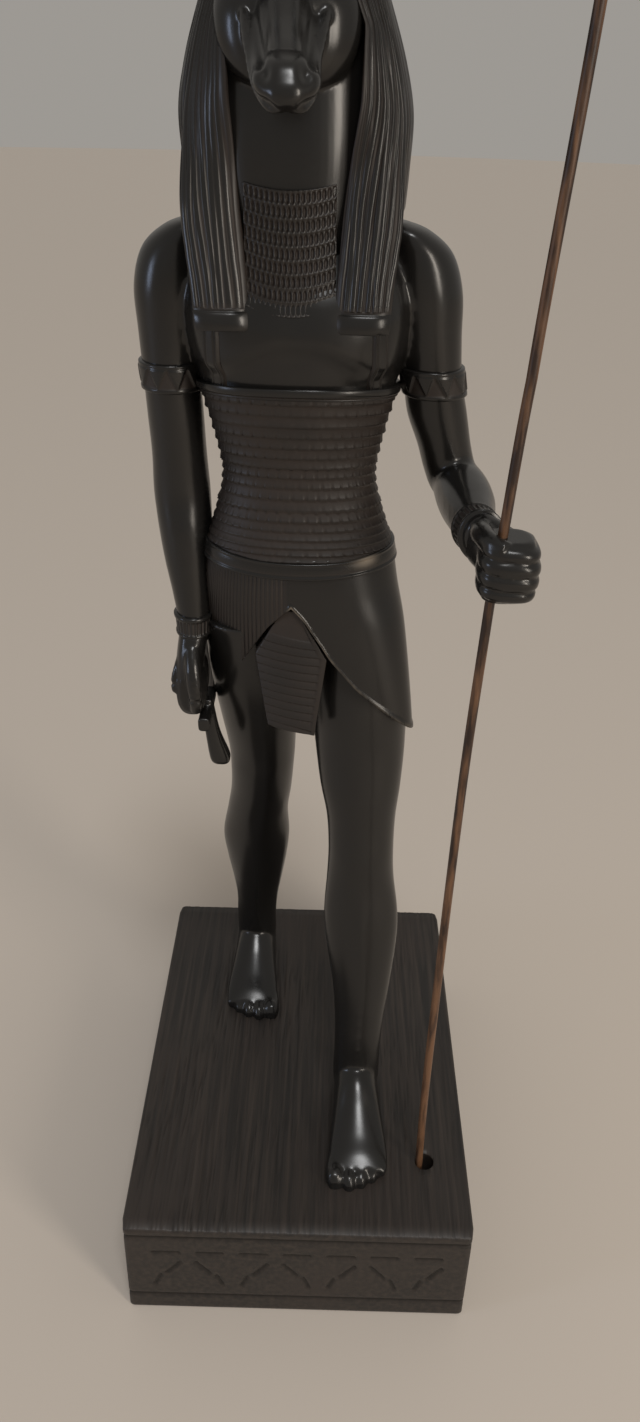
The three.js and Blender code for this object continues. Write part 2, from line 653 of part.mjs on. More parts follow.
// The wig is one form with four runs of columns to each side of the middle: the opening of the face,
// the lappet, the shoulder and the tail. Below the shoulders only the lappets and the tail stand out.
function wigSolid() {
  const HALF = 24;
  const [NOTCH, LAPPET_END, TAIL_START] = [2, 10, 16];
  const SQUARE = 2.5;
  const body = limb(WIG, { square: SQUARE });
  const edges = (height, wide) => {
    const opening = Math.asin(clamp(readAt(FACE_OPENING, height) / wide, 0.02, 0.98) ** (SQUARE / 2));
    return [[0, 0], [NOTCH, opening], [LAPPET_END, 1.08], [TAIL_START, 2.18], [HALF, Math.PI]];
  };
  return form(HALF * 2, WIG_RINGS.length - 1, (angle, share, atRim) => {
    const height = WIG_RINGS[Math.round(share * (WIG_RINGS.length - 1))];
    const t = shareAt(WIG, height);
    const around = turn(angle - FRONT);
    const column = Math.round((Math.abs(around) / Math.PI) * HALF);
    const side = around > 0 ? -1 : 1;
    const lock = column % 2 ? 0 : LOCK;
    const point = body.at(FRONT - side * readAt(edges(height, body.width(t)), column), t, lock, atRim);
    if (!atRim) return point;
    const hang = smoothstep(422 - height, 0, 38);
    if (column < NOTCH) {
      point.y = Math.max(point.y, -3);
    } else if (column <= LAPPET_END) {
      const across = (column - NOTCH) / (LAPPET_END - NOTCH);
      const rounding = 2.4 * Math.abs(2 * across - 1) ** 3;
      const reach = lerp(readAt(FACE_OPENING, height), readAt(LAPPET.outer, height), across);
      const x = side * reach - LAPPET.shift;
      const end = height < 357 ? 0.8 : 0;
      point.x = lerp(point.x, x, hang);
      point.y = lerp(point.y, readAt(LAPPET.front, height) + rounding - lock - end, hang);
    } else if (column < TAIL_START) {
      if (height < 380) point.set(side * 22, lerp(4, 18, (column - LAPPET_END) / (TAIL_START - LAPPET_END)), height);
    } else {
      const across = (HALF - column) / (HALF - TAIL_START);
      point.x = lerp(point.x, side * readAt(TAIL.half, height) * across, hang);
      point.y = lerp(point.y, readAt(TAIL.back, height) - 2 * across ** 4 + lock, hang);
      point.z -= TAIL.drop * hang * smoothstep(384 - height, 0, 34);
    }
    return point;
  });
}

// The rod stands in its socket, runs straight up to the fist, bends there and leans outward above it
const staffPath = (height) => new THREE.Vector3(readAt(STAFF_RUN, height), STAFF.y, height + PLINTH.height);

function rodSolid(radius, low, high) {
  const SIDES = 8;
  const between = STAFF_RUN.map(([height]) => height).filter((height) => height > low && height < high);
  const heights = [low, ...between, high];
  const path = heights.map(staffPath);
  return form(SIDES, heights.length - 1, (angle, share, atRim) => {
    const point = path[Math.round(share * (heights.length - 1))].clone();
    const reach = atRim ? radius : 0;
    return point.add(new THREE.Vector3(reach * Math.cos(angle), -reach * Math.sin(angle), 0));
  });
}

// A plain slanting animal head tops the staff: a cheek, a drooping snout and two short ears
function staffHeadSolids() {
  const top = staffPath(STAFF.top);
  const head = limb([
    [top.y + 5, top.x, top.z + 3, 1.6, 2, 2],
    [top.y, top.x, top.z + 2, 2.6, 3.4, 3.4],
    [top.y - 8, top.x, top.z - 0.5, 2, 2.4, 2.2],
    [top.y - 16, top.x, top.z - 5, 1.4, 1.5, 1.5],
  ], { forward: true });
  const ears = limb([
    [top.z + 2, top.x, top.y + 3, 2, 1.6, 1.6],
    [top.z + 14, top.x, top.y + 6.5, 2.2, 1.2, 1.2],
  ], { square: 3 });
  return [loft(head, { around: 8 }), loft(ears, { around: 8 })];
}

function staffSolid() {
  return union([rodSolid(STAFF.radius, STAFF.foot, STAFF.top), ...staffHeadSolids()]);
}

// A ring of the plinth's outline, a rectangle with rounded corners, pulled in by an inset
function plinthRing(angle, inset) {
  const half = new THREE.Vector2(PLINTH.width / 2 - PLINTH.corner, PLINTH.depth / 2 - PLINTH.corner);
  const corner = Math.floor((angle + 2 * Math.PI) / QUARTER) % 4;
  const signs = [[1, 1], [-1, 1], [-1, -1], [1, -1]][corner];
  const reach = PLINTH.corner - inset;
  return new THREE.Vector2(signs[0] * half.x + reach * Math.cos(angle), signs[1] * half.y + reach * Math.sin(angle));
}

// Strokes that stand for the front's carved signs: short bars in generic groups, not writing
function inscriptionSolids() {
  const { low, high, half, signs, cut, stroke } = INSCRIPTION;
  const pitch = (2 * half) / signs;
  const front = -PLINTH.depth / 2;
  const bar = (x, z, length, tilt) => {
    const box = new THREE.BoxGeometry(length, 2 * cut, stroke);
    box.rotateY(-tilt);
    box.translate(x, front, z);
    return box;
  };
  const bars = [];
  for (let i = 0; i < signs; i++) {
    const x = -half + (i + 0.5) * pitch;
    const mirror = i % 2 ? -1 : 1;
    bars.push(bar(x, high - 3, pitch * 0.55, 0));
    bars.push(bar(x + mirror * 3, (low + high) / 2, pitch * 0.5, mirror * 0.9));
    bars.push(bar(x - mirror * 4, low + 5, pitch * 0.35, mirror * 1.2));
  }
  return bars;
}

function plinthSolid() {
  const { upper, lower, half, cut } = GROOVES;
  const profile = [
    [0, 1.2],
    [1.2, 0],
    [lower - half, 0],
    [lower, cut],
    [lower + half, 0],
    [upper - half, 0],
    [upper, cut],
    [upper + half, 0],
    [PLINTH.height - 0.8, 0],
    [PLINTH.height, 0.8],
  ];
  const around = 16;
  const step = (2 * Math.PI) / around;
  const block = form(around, profile.length - 1, (angle, share, atRim) => {
    const [height, inset] = profile[Math.round(share * (profile.length - 1))];
    if (!atRim) return new THREE.Vector3(0, 0, height);
    const ring = plinthRing(angle + step / 2, inset);
    return new THREE.Vector3(ring.x, ring.y, height);
  });
  const socket = new THREE.CylinderGeometry(SOCKET.radius, SOCKET.radius, 60, 16);
  socket.rotateX(QUARTER);
  socket.translate(SOCKET.x, SOCKET.y, SOCKET.floor + 30);
  return union([block]).subtract(solid(socket)).subtract(union(inscriptionSolids()));
}

// The whole casting, leaned over and stood on the plinth, with the staff's passage through the left fist
function figureSolid() {
  const pieces = [
    torsoSolid(),
    ...corsetSolids(),
    collarSolid(),
    kiltSolid(),
    beltSolid(),
    apronSolid(),
    ...armSolids(),
    ...rightHandSolids(),
    ...ankhSolids(),
    ...leftHandSolids(),
    ...legSolids(),
    ...headSolids(),
    wigSolid(),
  ];
  const lean = new THREE.Matrix4().makeShear(0, 0, 0, 0, -LEAN.perHeight, 0);
  lean.setPosition(LEAN.atSole, 0, PLINTH.height);
  for (const geometry of pieces) geometry.applyMatrix4(lean);
  return union(pieces).subtract(solid(rodSolid(STAFF.radius + CLEARANCE, 250, 330))).setTolerance(SLIVER);
}

function piece(name, manifold, look) {
  const mesh = new THREE.Mesh(geometryOf(manifold), new THREE.MeshStandardMaterial(look));
  mesh.name = name;
  return mesh;
}

const statue = new THREE.Group();
statue.add(
  piece("plinth", plinthSolid(), { color: 0x2b2927, roughness: 0.5, metalness: 0 }),
  piece("figure", figureSolid(), { color: 0x1b1918, roughness: 0.25, metalness: 0 }),
  piece("staff", staffSolid(), { color: 0x4a3022, roughness: 0.45, metalness: 0.3 }),
);

export default statue;
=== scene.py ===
"""The fine surface of a cast statue of a striding, animal-headed god, made on its packed construction frame.

Lengths are millimetres until a piece is finished, and then metres. Figure points are given as x, y and the
height above the soles, before the casting leans a little to its right.
"""

from math import pi, radians

import bmesh
import bpy
import numpy as np
from mathutils import Matrix, Vector, noise


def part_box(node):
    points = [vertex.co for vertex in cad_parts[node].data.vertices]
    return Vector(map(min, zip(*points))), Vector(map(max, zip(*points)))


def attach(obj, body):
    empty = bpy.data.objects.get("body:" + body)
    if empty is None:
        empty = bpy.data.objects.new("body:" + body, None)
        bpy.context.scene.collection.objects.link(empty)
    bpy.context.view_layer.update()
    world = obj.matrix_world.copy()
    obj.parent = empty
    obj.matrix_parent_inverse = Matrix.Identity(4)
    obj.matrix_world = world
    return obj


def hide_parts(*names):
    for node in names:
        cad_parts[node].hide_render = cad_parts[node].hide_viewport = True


bl_info = {
    "name": "Seth Statue",
    "version": (1, 0, 0),
    "blender": (4, 5, 0),
    "location": "3D View > Sidebar > Statue",
    "description": "Makes the fine surface of a cast statue, its plinth and its staff",
    "category": "Add Mesh",
}

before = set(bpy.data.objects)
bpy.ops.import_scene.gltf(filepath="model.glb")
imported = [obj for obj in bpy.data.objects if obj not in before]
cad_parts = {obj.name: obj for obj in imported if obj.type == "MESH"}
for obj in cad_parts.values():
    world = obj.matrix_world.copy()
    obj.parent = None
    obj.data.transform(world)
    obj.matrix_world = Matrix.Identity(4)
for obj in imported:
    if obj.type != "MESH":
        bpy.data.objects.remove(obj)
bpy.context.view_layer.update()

MM = 0.001
FRONT = pi / 2
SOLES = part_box("plinth")[1].z / MM
LEAN = 0.0225
LEAN_AT_SOLES = -0.4

# Levels of the dress, as heights above the soles
BELT = {"low": 261.6, "high": 268.2, "rise": 2.8, "proud": 2.2}
CORSET = {"low": 266, "high": 332.2, "side_drop": 3.2, "rows": 18, "around": 46, "proud": 1.3, "lip": 0.85}
TOP_BAND = {"depth": 3.7, "proud": 1.9}
COLLAR = {"low": 355.5, "high": 392, "x": -1.6, "half": 14.6, "rows": 9, "beads": 18}
LAPPET_END = 350.8
STAFF = {"radius": 1.65, "y": -66.5, "foot": -20, "top": 503}
# The rod's bow: its height and how far to the left it is
STAFF_RUN = [[-20, 53.9], [40, 53.1], [100, 53.4], [160, 54], [218, 55], [277, 57.1], [304, 59.1],
             [348, 61.9], [427, 66.8], [503, 71.2]]

# Faces across and along each open grid, and on each bead and scale
GRIDS = {"wig": (480, 110), "kilt": (420, 90), "apron": (60, 190), "strap": (40, 60), "staff": (32, 240)}
BEAD_FACES = (9, 16)
SCALE_FACES = (7, 7)


def linear(hex_colour):
    """An sRGB hex colour as the linear values that shaders take"""
    parts = [int(hex_colour[i:i + 2], 16) / 255 for i in (1, 3, 5)]
    return [c / 12.92 if c <= 0.04045 else ((c + 0.055) / 1.055) ** 2.4 for c in parts]


# Numbers and curves

def mix(a, b, share):
    return a + (b - a) * share


def ease(value, low, high):
    """0 below low and 1 above high, smooth between; low may be the larger"""
    share = np.clip((value - low) / (high - low), 0, 1)
    return share * share * (3 - 2 * share)


def bump(value, centre, width):
    return np.exp(-(((value - centre) / width) ** 2))


def turned(angle):
    """An angle brought between minus and plus half a turn"""
    return np.arctan2(np.sin(angle), np.cos(angle))


def read(pairs, place):
    """Reads a list of [place, value] at places, straight between its points"""
    table = np.array(pairs, float)
    return np.interp(place, table[:, 0], table[:, 1])


def curve(points, t):
    """Points at shares t of a smooth curve through a list of points"""
    points = np.atleast_2d(np.asarray(points, float))
    ends = np.vstack([2 * points[0] - points[1], points, 2 * points[-1] - points[-2]])
    place = np.clip(t, 0, 1) * (len(points) - 1)
    first = np.minimum(place.astype(int), len(points) - 2)
    f = (place - first)[:, None]
    a, b, c, d = (ends[first + k] for k in range(4))
    return 0.5 * (2 * b + (c - a) * f + (2 * a - 5 * b + 4 * c - d) * f**2 + (3 * b - a - 3 * c + d) * f**3)


def noisy(points, size, seed=0):
    """Smooth noise from -1 to 1 at points, with lumps of a size"""
    return np.array([noise.noise(Vector(p) / size + Vector((seed, 7 * seed, 0))) for p in points])


class Limb:
    """A smooth run of stations. Upright ones are [height, x, y, half width, fore, aft] with level rings;
    forward ones are [y, x, height, half width, up, down] with rings that face forward."""

    def __init__(self, stations, forward=False, square=2.0, twists=None):
        table = np.array(stations, float)
        self.stations = table
        self.middle = table[:, [1, 0, 2] if forward else [1, 2, 0]]
        self.sizes = table[:, 3:6]
        self.forward = forward
        self.flat = 2 / square
        self.twists = twists

    def at(self, angle, t, raised=0.0):
        """Surface points at angles round and shares t along, raised off the surface"""
        x, y, height = curve(self.middle, t).T
        half, near, far = curve(self.sizes, t).T
        c, s = np.cos(angle), np.sin(angle)
        across = np.sign(c) * np.abs(c) ** self.flat * (half + raised)
        deep = np.sign(s) * np.abs(s) ** self.flat * (np.where(s > 0, near, far) + raised)
        if self.forward:
            return np.column_stack([x + across, y, height + deep])
        slide = 0 if self.twists is None else curve(np.array(self.twists)[:, None], t)[:, 0] * across
        return np.column_stack([x + across, y - deep + slide, height])

    def half(self, t):
        return curve(self.sizes, t)[:, 0]

    def share(self, place):
        """The share of the length at which the stations' first number has a value"""
        places = self.stations[:, 0]
        steps = np.linspace(0, 1, len(places))
        if places[0] > places[-1]:
            return np.interp(place, places[::-1], steps[::-1])
        return np.interp(place, places, steps)

    def place(self, t):
        """The stations' first number at shares t"""
        return np.interp(t, np.linspace(0, 1, len(self.stations)), self.stations[:, 0])


# Meshes

def sheet(columns, rows, place):
    """A bmesh grid put where place(u, v) says, for shares across and along from 0 to 1. place gives points,
    and may give surface marks too: how deep a point lies in a recess, and how worn it is."""
    bm = bmesh.new()
    bmesh.ops.create_grid(bm, x_segments=columns, y_segments=rows, size=0.5)
    shares = np.array([vert.co for vert in bm.verts]) + 0.5
    placed = place(shares[:, 0], shares[:, 1])
    points, marks = placed if isinstance(placed, tuple) else (placed, {})
    for vert, point in zip(bm.verts, points):
        vert.co = point
    for name, values in marks.items():
        layer = bm.verts.layers.float.new(name)
        for vert, value in zip(bm.verts, np.broadcast_to(values, len(bm.verts))):
            vert[layer] = value
    return bm


def close(bm):
    """Welds a rolled sheet along its seam and shuts its ends"""
    bmesh.ops.remove_doubles(bm, verts=bm.verts, dist=1e-3)
    bmesh.ops.holes_fill(bm, edges=[edge for edge in bm.edges if edge.is_boundary], sides=0)
    return bm


def back(bm, offset):
    """Gives an open sheet a rim and a back, so that it is a closed slab"""
    rim = bmesh.ops.extrude_edge_only(bm, edges=[edge for edge in bm.edges if edge.is_boundary])
    bmesh.ops.translate(bm, verts=[e for e in rim["geom"] if isinstance(e, bmesh.types.BMVert)], vec=offset)
    bmesh.ops.holes_fill(bm, edges=[edge for edge in bm.edges if edge.is_boundary], sides=0)
    return bm


def loft(limb, around=32, rings=40, start=0.0, end=1.0, raised=lambda angle, t, v: 0.0):
    """A closed limb between two shares of its length, which may be functions of the angle. raised gives how
    far the surface stands out, and may give surface marks too."""
    def place(u, v):
        angle = 2 * pi * u - FRONT
        low = start(angle) if callable(start) else start
        high = end(angle) if callable(end) else end
        t = np.clip(low + (high - low) * v, 0, 1)
        lift = raised(angle, t, v)
        lift, marks = lift if isinstance(lift, tuple) else (lift, {})
        return limb.at(angle, t, lift), marks

    return close(sheet(around, rings, place))


def strand(points, around=12, per_span=4, flat=1.0):
    """A closed tube of changing radius through a list of [x, y, height, radius]"""
    table = np.array(points, float)

    def place(u, v):
        angle = 2 * pi * u
        middle = curve(table[:, :3], v)
        ahead = curve(table[:, :3], np.clip(v + 1e-3, 0, 1)) - curve(table[:, :3], np.clip(v - 1e-3, 0, 1))
        ahead /= np.linalg.norm(ahead, axis=1)[:, None]
        side = np.cross(ahead, np.array([0.02, 0.03, 1.0]))
        side /= np.linalg.norm(side, axis=1)[:, None]
        over = np.cross(side, ahead)
        radius = curve(table[:, 3:4], v)
        return middle + radius * (np.cos(angle)[:, None] * side + flat * np.sin(angle)[:, None] * over)

    return close(sheet(around, (len(table) - 1) * per_span, place))


def ball(centre, sizes, spin=0.0):
    """A closed ellipsoid"""
    bm = bmesh.new()
    bmesh.ops.create_icosphere(bm, subdivisions=4, radius=1)
    bmesh.ops.transform(bm, verts=bm.verts, matrix=Matrix.Translation(centre) @ Matrix.Rotation(spin, 4, "Z")
                        @ Matrix.Diagonal((*sizes, 1)))
    return bm


def gather(parts):
    """Several bmeshes in one, each closed and facing out"""
    whole = bmesh.new()
    for part in parts:
        bmesh.ops.recalc_face_normals(part, faces=part.faces)
        mesh = bpy.data.meshes.new("part")
        part.to_mesh(mesh)
        part.free()
        whole.from_mesh(mesh)
        bpy.data.meshes.remove(mesh)
    return whole


def fuse(parts, grain, passes=4):
    """Melts closed parts that overlap into one skin of even faces, as a casting has, and softens its joins"""
    mesh = bpy.data.meshes.new("melt")
    gather(parts).to_mesh(mesh)
    melt = bpy.data.objects.new("melt", mesh)
    bpy.context.scene.collection.objects.link(melt)
    remesh = melt.modifiers.new("Fuse", "REMESH")
    remesh.mode = "VOXEL"
    remesh.voxel_size = grain
    soften = melt.modifiers.new("Soften", "SMOOTH")
    soften.factor = 0.5
    soften.iterations = passes
    depsgraph = bpy.context.evaluated_depsgraph_get()
    fused = bpy.data.meshes.new_from_object(melt.evaluated_get(depsgraph))
    bpy.data.objects.remove(melt)
    bpy.data.meshes.remove(mesh)
    return fused


def vectors_of(mesh, name="co"):
    """The mesh's points, or their normals, in rows"""
    values = np.empty(len(mesh.vertices) * 3, np.float32)
    mesh.vertices.foreach_get(name, values)
    return values.reshape(-1, 3).astype(float)


def place_points(mesh, points):
    mesh.vertices.foreach_set("co", points.astype(np.float32).ravel())
    mesh.update()


def press(mesh, marks):
    """Raises or sinks soft spots along the surface: each is (centre, sizes, height)"""
    points, normals = vectors_of(mesh), vectors_of(mesh, "normal")
    lift = np.zeros(len(points))
    for centre, sizes, height in marks:
        lift += height * np.exp(-(((points - centre) / sizes) ** 2).sum(1))
    place_points(mesh, points + normals * lift[:, None])


def finish(name, shape, node, material, leans=True):
    """Makes a piece of a shape: leans it, stands it on the plinth, and lets it stand for its node"""
    if isinstance(shape, bmesh.types.BMesh):
        bmesh.ops.recalc_face_normals(shape, faces=shape.faces)
        mesh = bpy.data.meshes.new(name)
        shape.to_mesh(mesh)
        shape.free()
    else:
        mesh = shape
        mesh.name = name
    points = vectors_of(mesh)
    if leans:
        points[:, 0] += LEAN_AT_SOLES - LEAN * points[:, 2]
        points[:, 2] += SOLES
    place_points(mesh, points * MM)
    mesh.shade_smooth()
    mesh.materials.clear()
    mesh.materials.append(material)
    made = bpy.data.objects.new(name, mesh)
    bpy.context.scene.collection.objects.link(made)
    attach(made, "root")
    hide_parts(node)
    return made


# Materials

def fresh(name):
    """An empty material, and the one function that adds a node to it: it takes the node's kind, the values or
    sockets that feed it, and its settings"""
    material = bpy.data.materials.get(name) or bpy.data.materials.new(name)
    material.use_nodes = True
    tree = material.node_tree
    tree.nodes.clear()

    def add(kind, inputs=None, **settings):
        made = tree.nodes.new("ShaderNode" + kind)
        for key, value in settings.items():
            setattr(made, key, value)
        for socket, value in (inputs or {}).items():
            if isinstance(value, bpy.types.NodeSocket):
                tree.links.new(value, made.inputs[socket])
            else:
                made.inputs[socket].default_value = value
        return made

    return material, add


def layered(add, base, *coats):
    """A base colour with further colours laid over it, each where its share says"""
    colour = (*base, 1)
    for share, coat in coats:
        colour = add("Mix", {0: share, 6: colour, 7: (*coat, 1)}, data_type="RGBA").outputs[2]
    return colour


def surface(add, colour, roughness, ior, height, strength, depth):
    """The last nodes of each finish: its fine relief of a depth in mm, its shader and the output"""
    relief = add("Bump", {"Height": height, "Strength": strength, "Distance": depth * MM})
    shader = add("BsdfPrincipled", {
        "Base Color": colour, "Roughness": roughness, "IOR": ior, "Normal": relief.outputs["Normal"],
    })
    add("OutputMaterial", {"Surface": shader.outputs[0]})


def cast_resin(settings):
    """Cold-cast resin, coloured black right through and rubbed up by hand with wax: the high places have a
    soft mirror gloss, and brown wax stays matt in the carving. The pale rubbed colour is painted highlight,
    laid where the worn share marks it on the kilt's hem and the belt."""
    cloud_size, rubbing_size = 22 * MM, 0.6 * MM
    material, add = fresh("waxed cast resin")
    where = add("TexCoord").outputs["Object"]
    recess = add("Attribute", attribute_name="recess").outputs["Fac"]
    # The worn share marks painted highlights on the kilt's front hem and the belt's front, in the rubbed
    # colour
    worn = add("Attribute", attribute_name="worn").outputs["Fac"]
    cloud = add("TexNoise", {"Vector": where, "Scale": 1 / cloud_size, "Detail": 4}).outputs["Fac"]
    grit = add("TexNoise", {"Vector": where, "Scale": 1 / rubbing_size, "Detail": 3}).outputs["Fac"]
    patches = add("MapRange", {"Value": cloud, "From Min": 0.1, "From Max": 0.55}).outputs["Result"]
    brown = add("Math", {0: recess, 1: patches}, operation="MULTIPLY").outputs[0]
    colour = layered(add, settings.resin, (brown, settings.wax), (worn, settings.rubbed))
    gloss = add("MapRange", {"Value": cloud, "To Min": 0.2, "To Max": 0.3}).outputs["Result"]
    rough = add("Mix", {"A": gloss, "B": 0.62, "Factor": recess}).outputs[0]
    surface(add, colour, rough, 1.5, grit, 0.12, 0.05)
    return material


def stained_wood(settings):
    """Open-grained hardwood under black-brown stain and thin satin lacquer: the grain still shows as long
    streaks, a little browner where the stain wore thin."""
    streak_size, pore_size, cloud_size = 2.4 * MM, 0.5 * MM, 60 * MM
    material, add = fresh("stained hardwood")
    where = add("TexCoord").outputs["Object"]
    # The grain runs from front to back, where streaks and pores are 40 times as long as they are wide
    along = add("Mapping", {"Vector": where, "Scale": (1, 1 / 40, 1)}).outputs["Vector"]
    streak = add("TexNoise", {"Vector": along, "Scale": 1 / streak_size, "Detail": 5}).outputs["Fac"]
    pores = add("TexNoise", {"Vector": along, "Scale": 1 / pore_size, "Detail": 2}).outputs["Fac"]
    cloud = add("TexNoise", {"Vector": where, "Scale": 1 / cloud_size, "Detail": 3}).outputs["Fac"]
    recess = add("Attribute", attribute_name="recess").outputs["Fac"]
    streaks = add("MapRange", {"Value": streak, "From Min": 0.38, "From Max": 0.7}).outputs["Result"]
    patches = add("MapRange", {"Value": cloud, "From Min": 0.45, "From Max": 0.8}).outputs["Result"]
    colour = layered(add, settings.stain, (streaks, settings.grain), (patches, settings.worn_stain),
                     (recess, settings.groove))
    rough = add("MapRange", {"Value": pores, "To Min": 0.36, "To Max": 0.6}).outputs["Result"]
    surface(add, colour, rough, 1.46, pores, 0.35, 0.15)
    return material


def painted_rod(settings):
    """A hardwood dowel under dark brown paint, worn through along its length to the lighter wood: worn places
    are drawn out lengthwise by the hand that slid along it."""
    wear_size = 2.2 * MM
    material, add = fresh("worn painted dowel")
    where = add("TexCoord").outputs["Object"]
    along = add("Mapping", {"Vector": where, "Scale": (1, 1, 0.12)}).outputs["Vector"]
    wear = add("TexNoise", {"Vector": along, "Scale": 1 / wear_size, "Detail": 5}).outputs["Fac"]
    # Paint is worn more towards the foot
    height = add("SeparateXYZ", {"Vector": where}).outputs["Z"]
    low = add("MapRange", {"Value": height, "From Min": 0.3, "From Max": 0.08}).outputs["Result"]
    lowered = add("Math", {0: low, 1: 0.16}, operation="MULTIPLY").outputs[0]
    share = add("Math", {0: wear, 1: lowered}, operation="ADD").outputs[0]
    bare = add("MapRange", {"Value": share, "From Min": 0.42, "From Max": 0.68}).outputs["Result"]
    colour = layered(add, settings.paint, (bare, settings.wood))
    rough = add("MapRange", {"Value": wear, "To Min": 0.32, "To Max": 0.6}).outputs["Result"]
    surface(add, colour, rough, 1.46, wear, 0.4, 0.1)
    return material


def studio_paper(settings):
    """Seamless background paper, matt and even, with the faintest tooth"""
    tooth_size = 1.5 * MM
    material, add = fresh("background paper")
    where = add("TexCoord").outputs["Object"]
    tooth = add("TexNoise", {"Vector": where, "Scale": 1 / tooth_size, "Detail": 3}).outputs["Fac"]
    surface(add, (*settings.paper, 1), 0.9, 1.5, tooth, 0.05, 0.1)
    return material


# Legs and feet

LEFT_LEG = [
    [236, 21, 9, 19, 20, 21],
    [207, 23.5, 3.5, 19.8, 20.5, 20],
    [184, 24.7, 0, 18.9, 18, 19],
    [165, 25.2, -4, 17.1, 16.5, 16.5],
    [150, 25.8, -7, 14.8, 15, 14],
    [135, 26, -10, 14.1, 14.2, 12],
    [121, 26, -12.2, 14.6, 13, 13.5],
    [103, 26.5, -16, 16.3, 12, 18],
    [88, 26.9, -18.7, 15.6, 11.5, 17.5],
    [66, 27.2, -23, 12.8, 10, 13],
    [50, 26.7, -26, 11.3, 9, 10.5],
    [34, 26, -29.4, 10.6, 8.4, 9.5],
    [18, 25.6, -32, 10.6, 9, 11],
    [8, 25.6, -33, 9, 8, 12],
]
RIGHT_LEG = [
    [236, -20, 8, 19, 18, 21],
    [207, -20, 15, 18, 18, 19],
    [184, -19, 21, 16.5, 16.5, 17.5],
    [163, -18.3, 27, 14.9, 15, 15.5],
    [150, -18.7, 30, 14.3, 14.5, 13.5],
    [135, -19.8, 34, 14, 14, 12],
    [120, -22, 38, 14.3, 13, 13.5],
    [102, -23.5, 43, 16, 12, 17.5],
    [86, -23.9, 47, 14.8, 11, 16.5],
    [68, -24.4, 52, 12.5, 10, 13.5],
    [52, -25.2, 56.5, 10.7, 9, 10.5],
    [36, -26.2, 60.5, 10.2, 8.2, 9.5],
    [20, -26.6, 64, 10.2, 9, 11],
    [8, -26.8, 66, 9, 8, 12],
]
FOOT = [
    [0, 0, 8, 4, 6, 9],
    [-4, 0, 11, 8.5, 11, 13],
    [-14, 0, 14, 10, 15, 17],
    [-26, 0.2, 12, 10.6, 14.5, 16],
    [-37, 0.6, 8.5, 11.7, 10.5, 12],
    [-47, 0.8, 6, 12.8, 7, 9],
    [-54, 0.8, 4.6, 13, 5, 7],
    [-59, 0.8, 3.8, 12.4, 2.6, 5],
]
# Each toe's place beside the foot's middle, its half width, how far it reaches from the heel, and its height
TOES = [
    [9.6, 3.9, 65, 7.6],
    [3.3, 2.8, 66, 6.2],
    [-2, 2.7, 64.5, 5.8],
    [-6.9, 2.5, 61.5, 5.4],
    [-11.2, 2.4, 57.5, 5],
]
NAIL_TILT = radians(24)


def leg_parts(stations, heel, inner):
    """A leg with its shin's keel, its foot, toes and nails; inner is 1 when the big toe is on the +X side"""
    leg = Limb(stations)
    x = stations[-1][1]

    def keel(angle, t, v):
        shin = ease(leg.place(t), 20, 45) * ease(leg.place(t), 125, 100)
        return 1.5 * shin * np.exp(-np.abs(turned(angle - FRONT)) / 0.3)

    parts = [loft(leg, around=64, rings=120, raised=keel)]
    sole = Limb([[heel + y, x - inner * aside, *rest] for y, aside, *rest in FOOT], forward=True)
    parts.append(loft(sole, around=48, rings=60))
    for aside, half, reach, tall in TOES:
        middle = x + inner * aside
        toe = Limb([
            [heel - reach + 16, x + inner * aside * 0.93, tall * 0.55, half * 0.9, tall * 0.4, tall],
            [heel - reach + 8, middle, tall * 0.5, half, tall * 0.42, tall],
            [heel - reach + 3, middle, tall * 0.42, half, tall * 0.5, tall],
            [heel - reach, middle, tall * 0.34, half * 0.55, tall * 0.22, tall],
        ], forward=True)
        parts.append(loft(toe, around=24, rings=24))
        nail = ball((0, 0, 0), (half * 0.68, 2.6, 0.8))
        there = Matrix.Translation((middle, heel - reach + 3.4, tall * 0.86))
        bmesh.ops.transform(nail, verts=nail.verts, matrix=there @ Matrix.Rotation(NAIL_TILT, 4, "X"))
        parts.append(nail)
    return parts


def flat_soles(mesh):
    """Lets the feet sink no lower than the plinth's top"""
    points = vectors_of(mesh)
    points[:, 2] = np.maximum(points[:, 2], -0.4)
    place_points(mesh, points)


# Torso and arms

TORSO = Limb([
    [255, 0, 5, 35.5, 22, 28],
    [262, 0, 5, 35, 21.5, 28],
    [270, 0, 5, 34, 21, 26],
    [281, 0, 5, 30.3, 19.5, 22],
    [296, 0, 5, 27, 18.5, 19.5],
    [310, 0, 5, 29.3, 21, 22],
    [325, 0, 5, 33.3, 25, 26],
    [340, 0, 5, 37.5, 28, 29],
    [355, 0, 5, 39.5, 27.5, 30],
    [367, 0, 5, 37, 23, 27],
    [377, 0, 5, 29, 18.5, 23],
    [386, 0, 5, 20, 16.5, 18],
    [398, 0, 4, 16.5, 15.5, 16],
    [415, 0, 2, 15.5, 15, 16],
    [430, 0, 0, 15, 14, 16],
], square=2.2)
RIGHT_ARM = Limb([
    [382, -33, 5, 3, 6, 7],
    [379, -37, 5.5, 7.5, 11, 12],
    [372, -41.5, 6, 11, 13, 14],
    [360, -43.6, 6, 12.6, 13.5, 14],
    [345, -44.8, 6.5, 11.2, 12.5, 13],
    [330, -45.3, 7, 10.2, 12, 12.5],
    [315, -45, 8, 10.2, 11.5, 12],
    [300, -44.7, 9, 10.2, 11, 11.5],
    [286, -44.6, 9.5, 10.7, 11, 11.5],
    [273, -44, 8, 10.3, 11.5, 10.5],
    [260, -43.3, 6, 9.3, 10.5, 9.5],
    [247, -42.6, 4, 7.6, 9, 8.5],
    [235, -42.2, 2.5, 6.3, 8, 7.5],
    [226, -42.4, 2, 5.8, 8.5, 8],
])
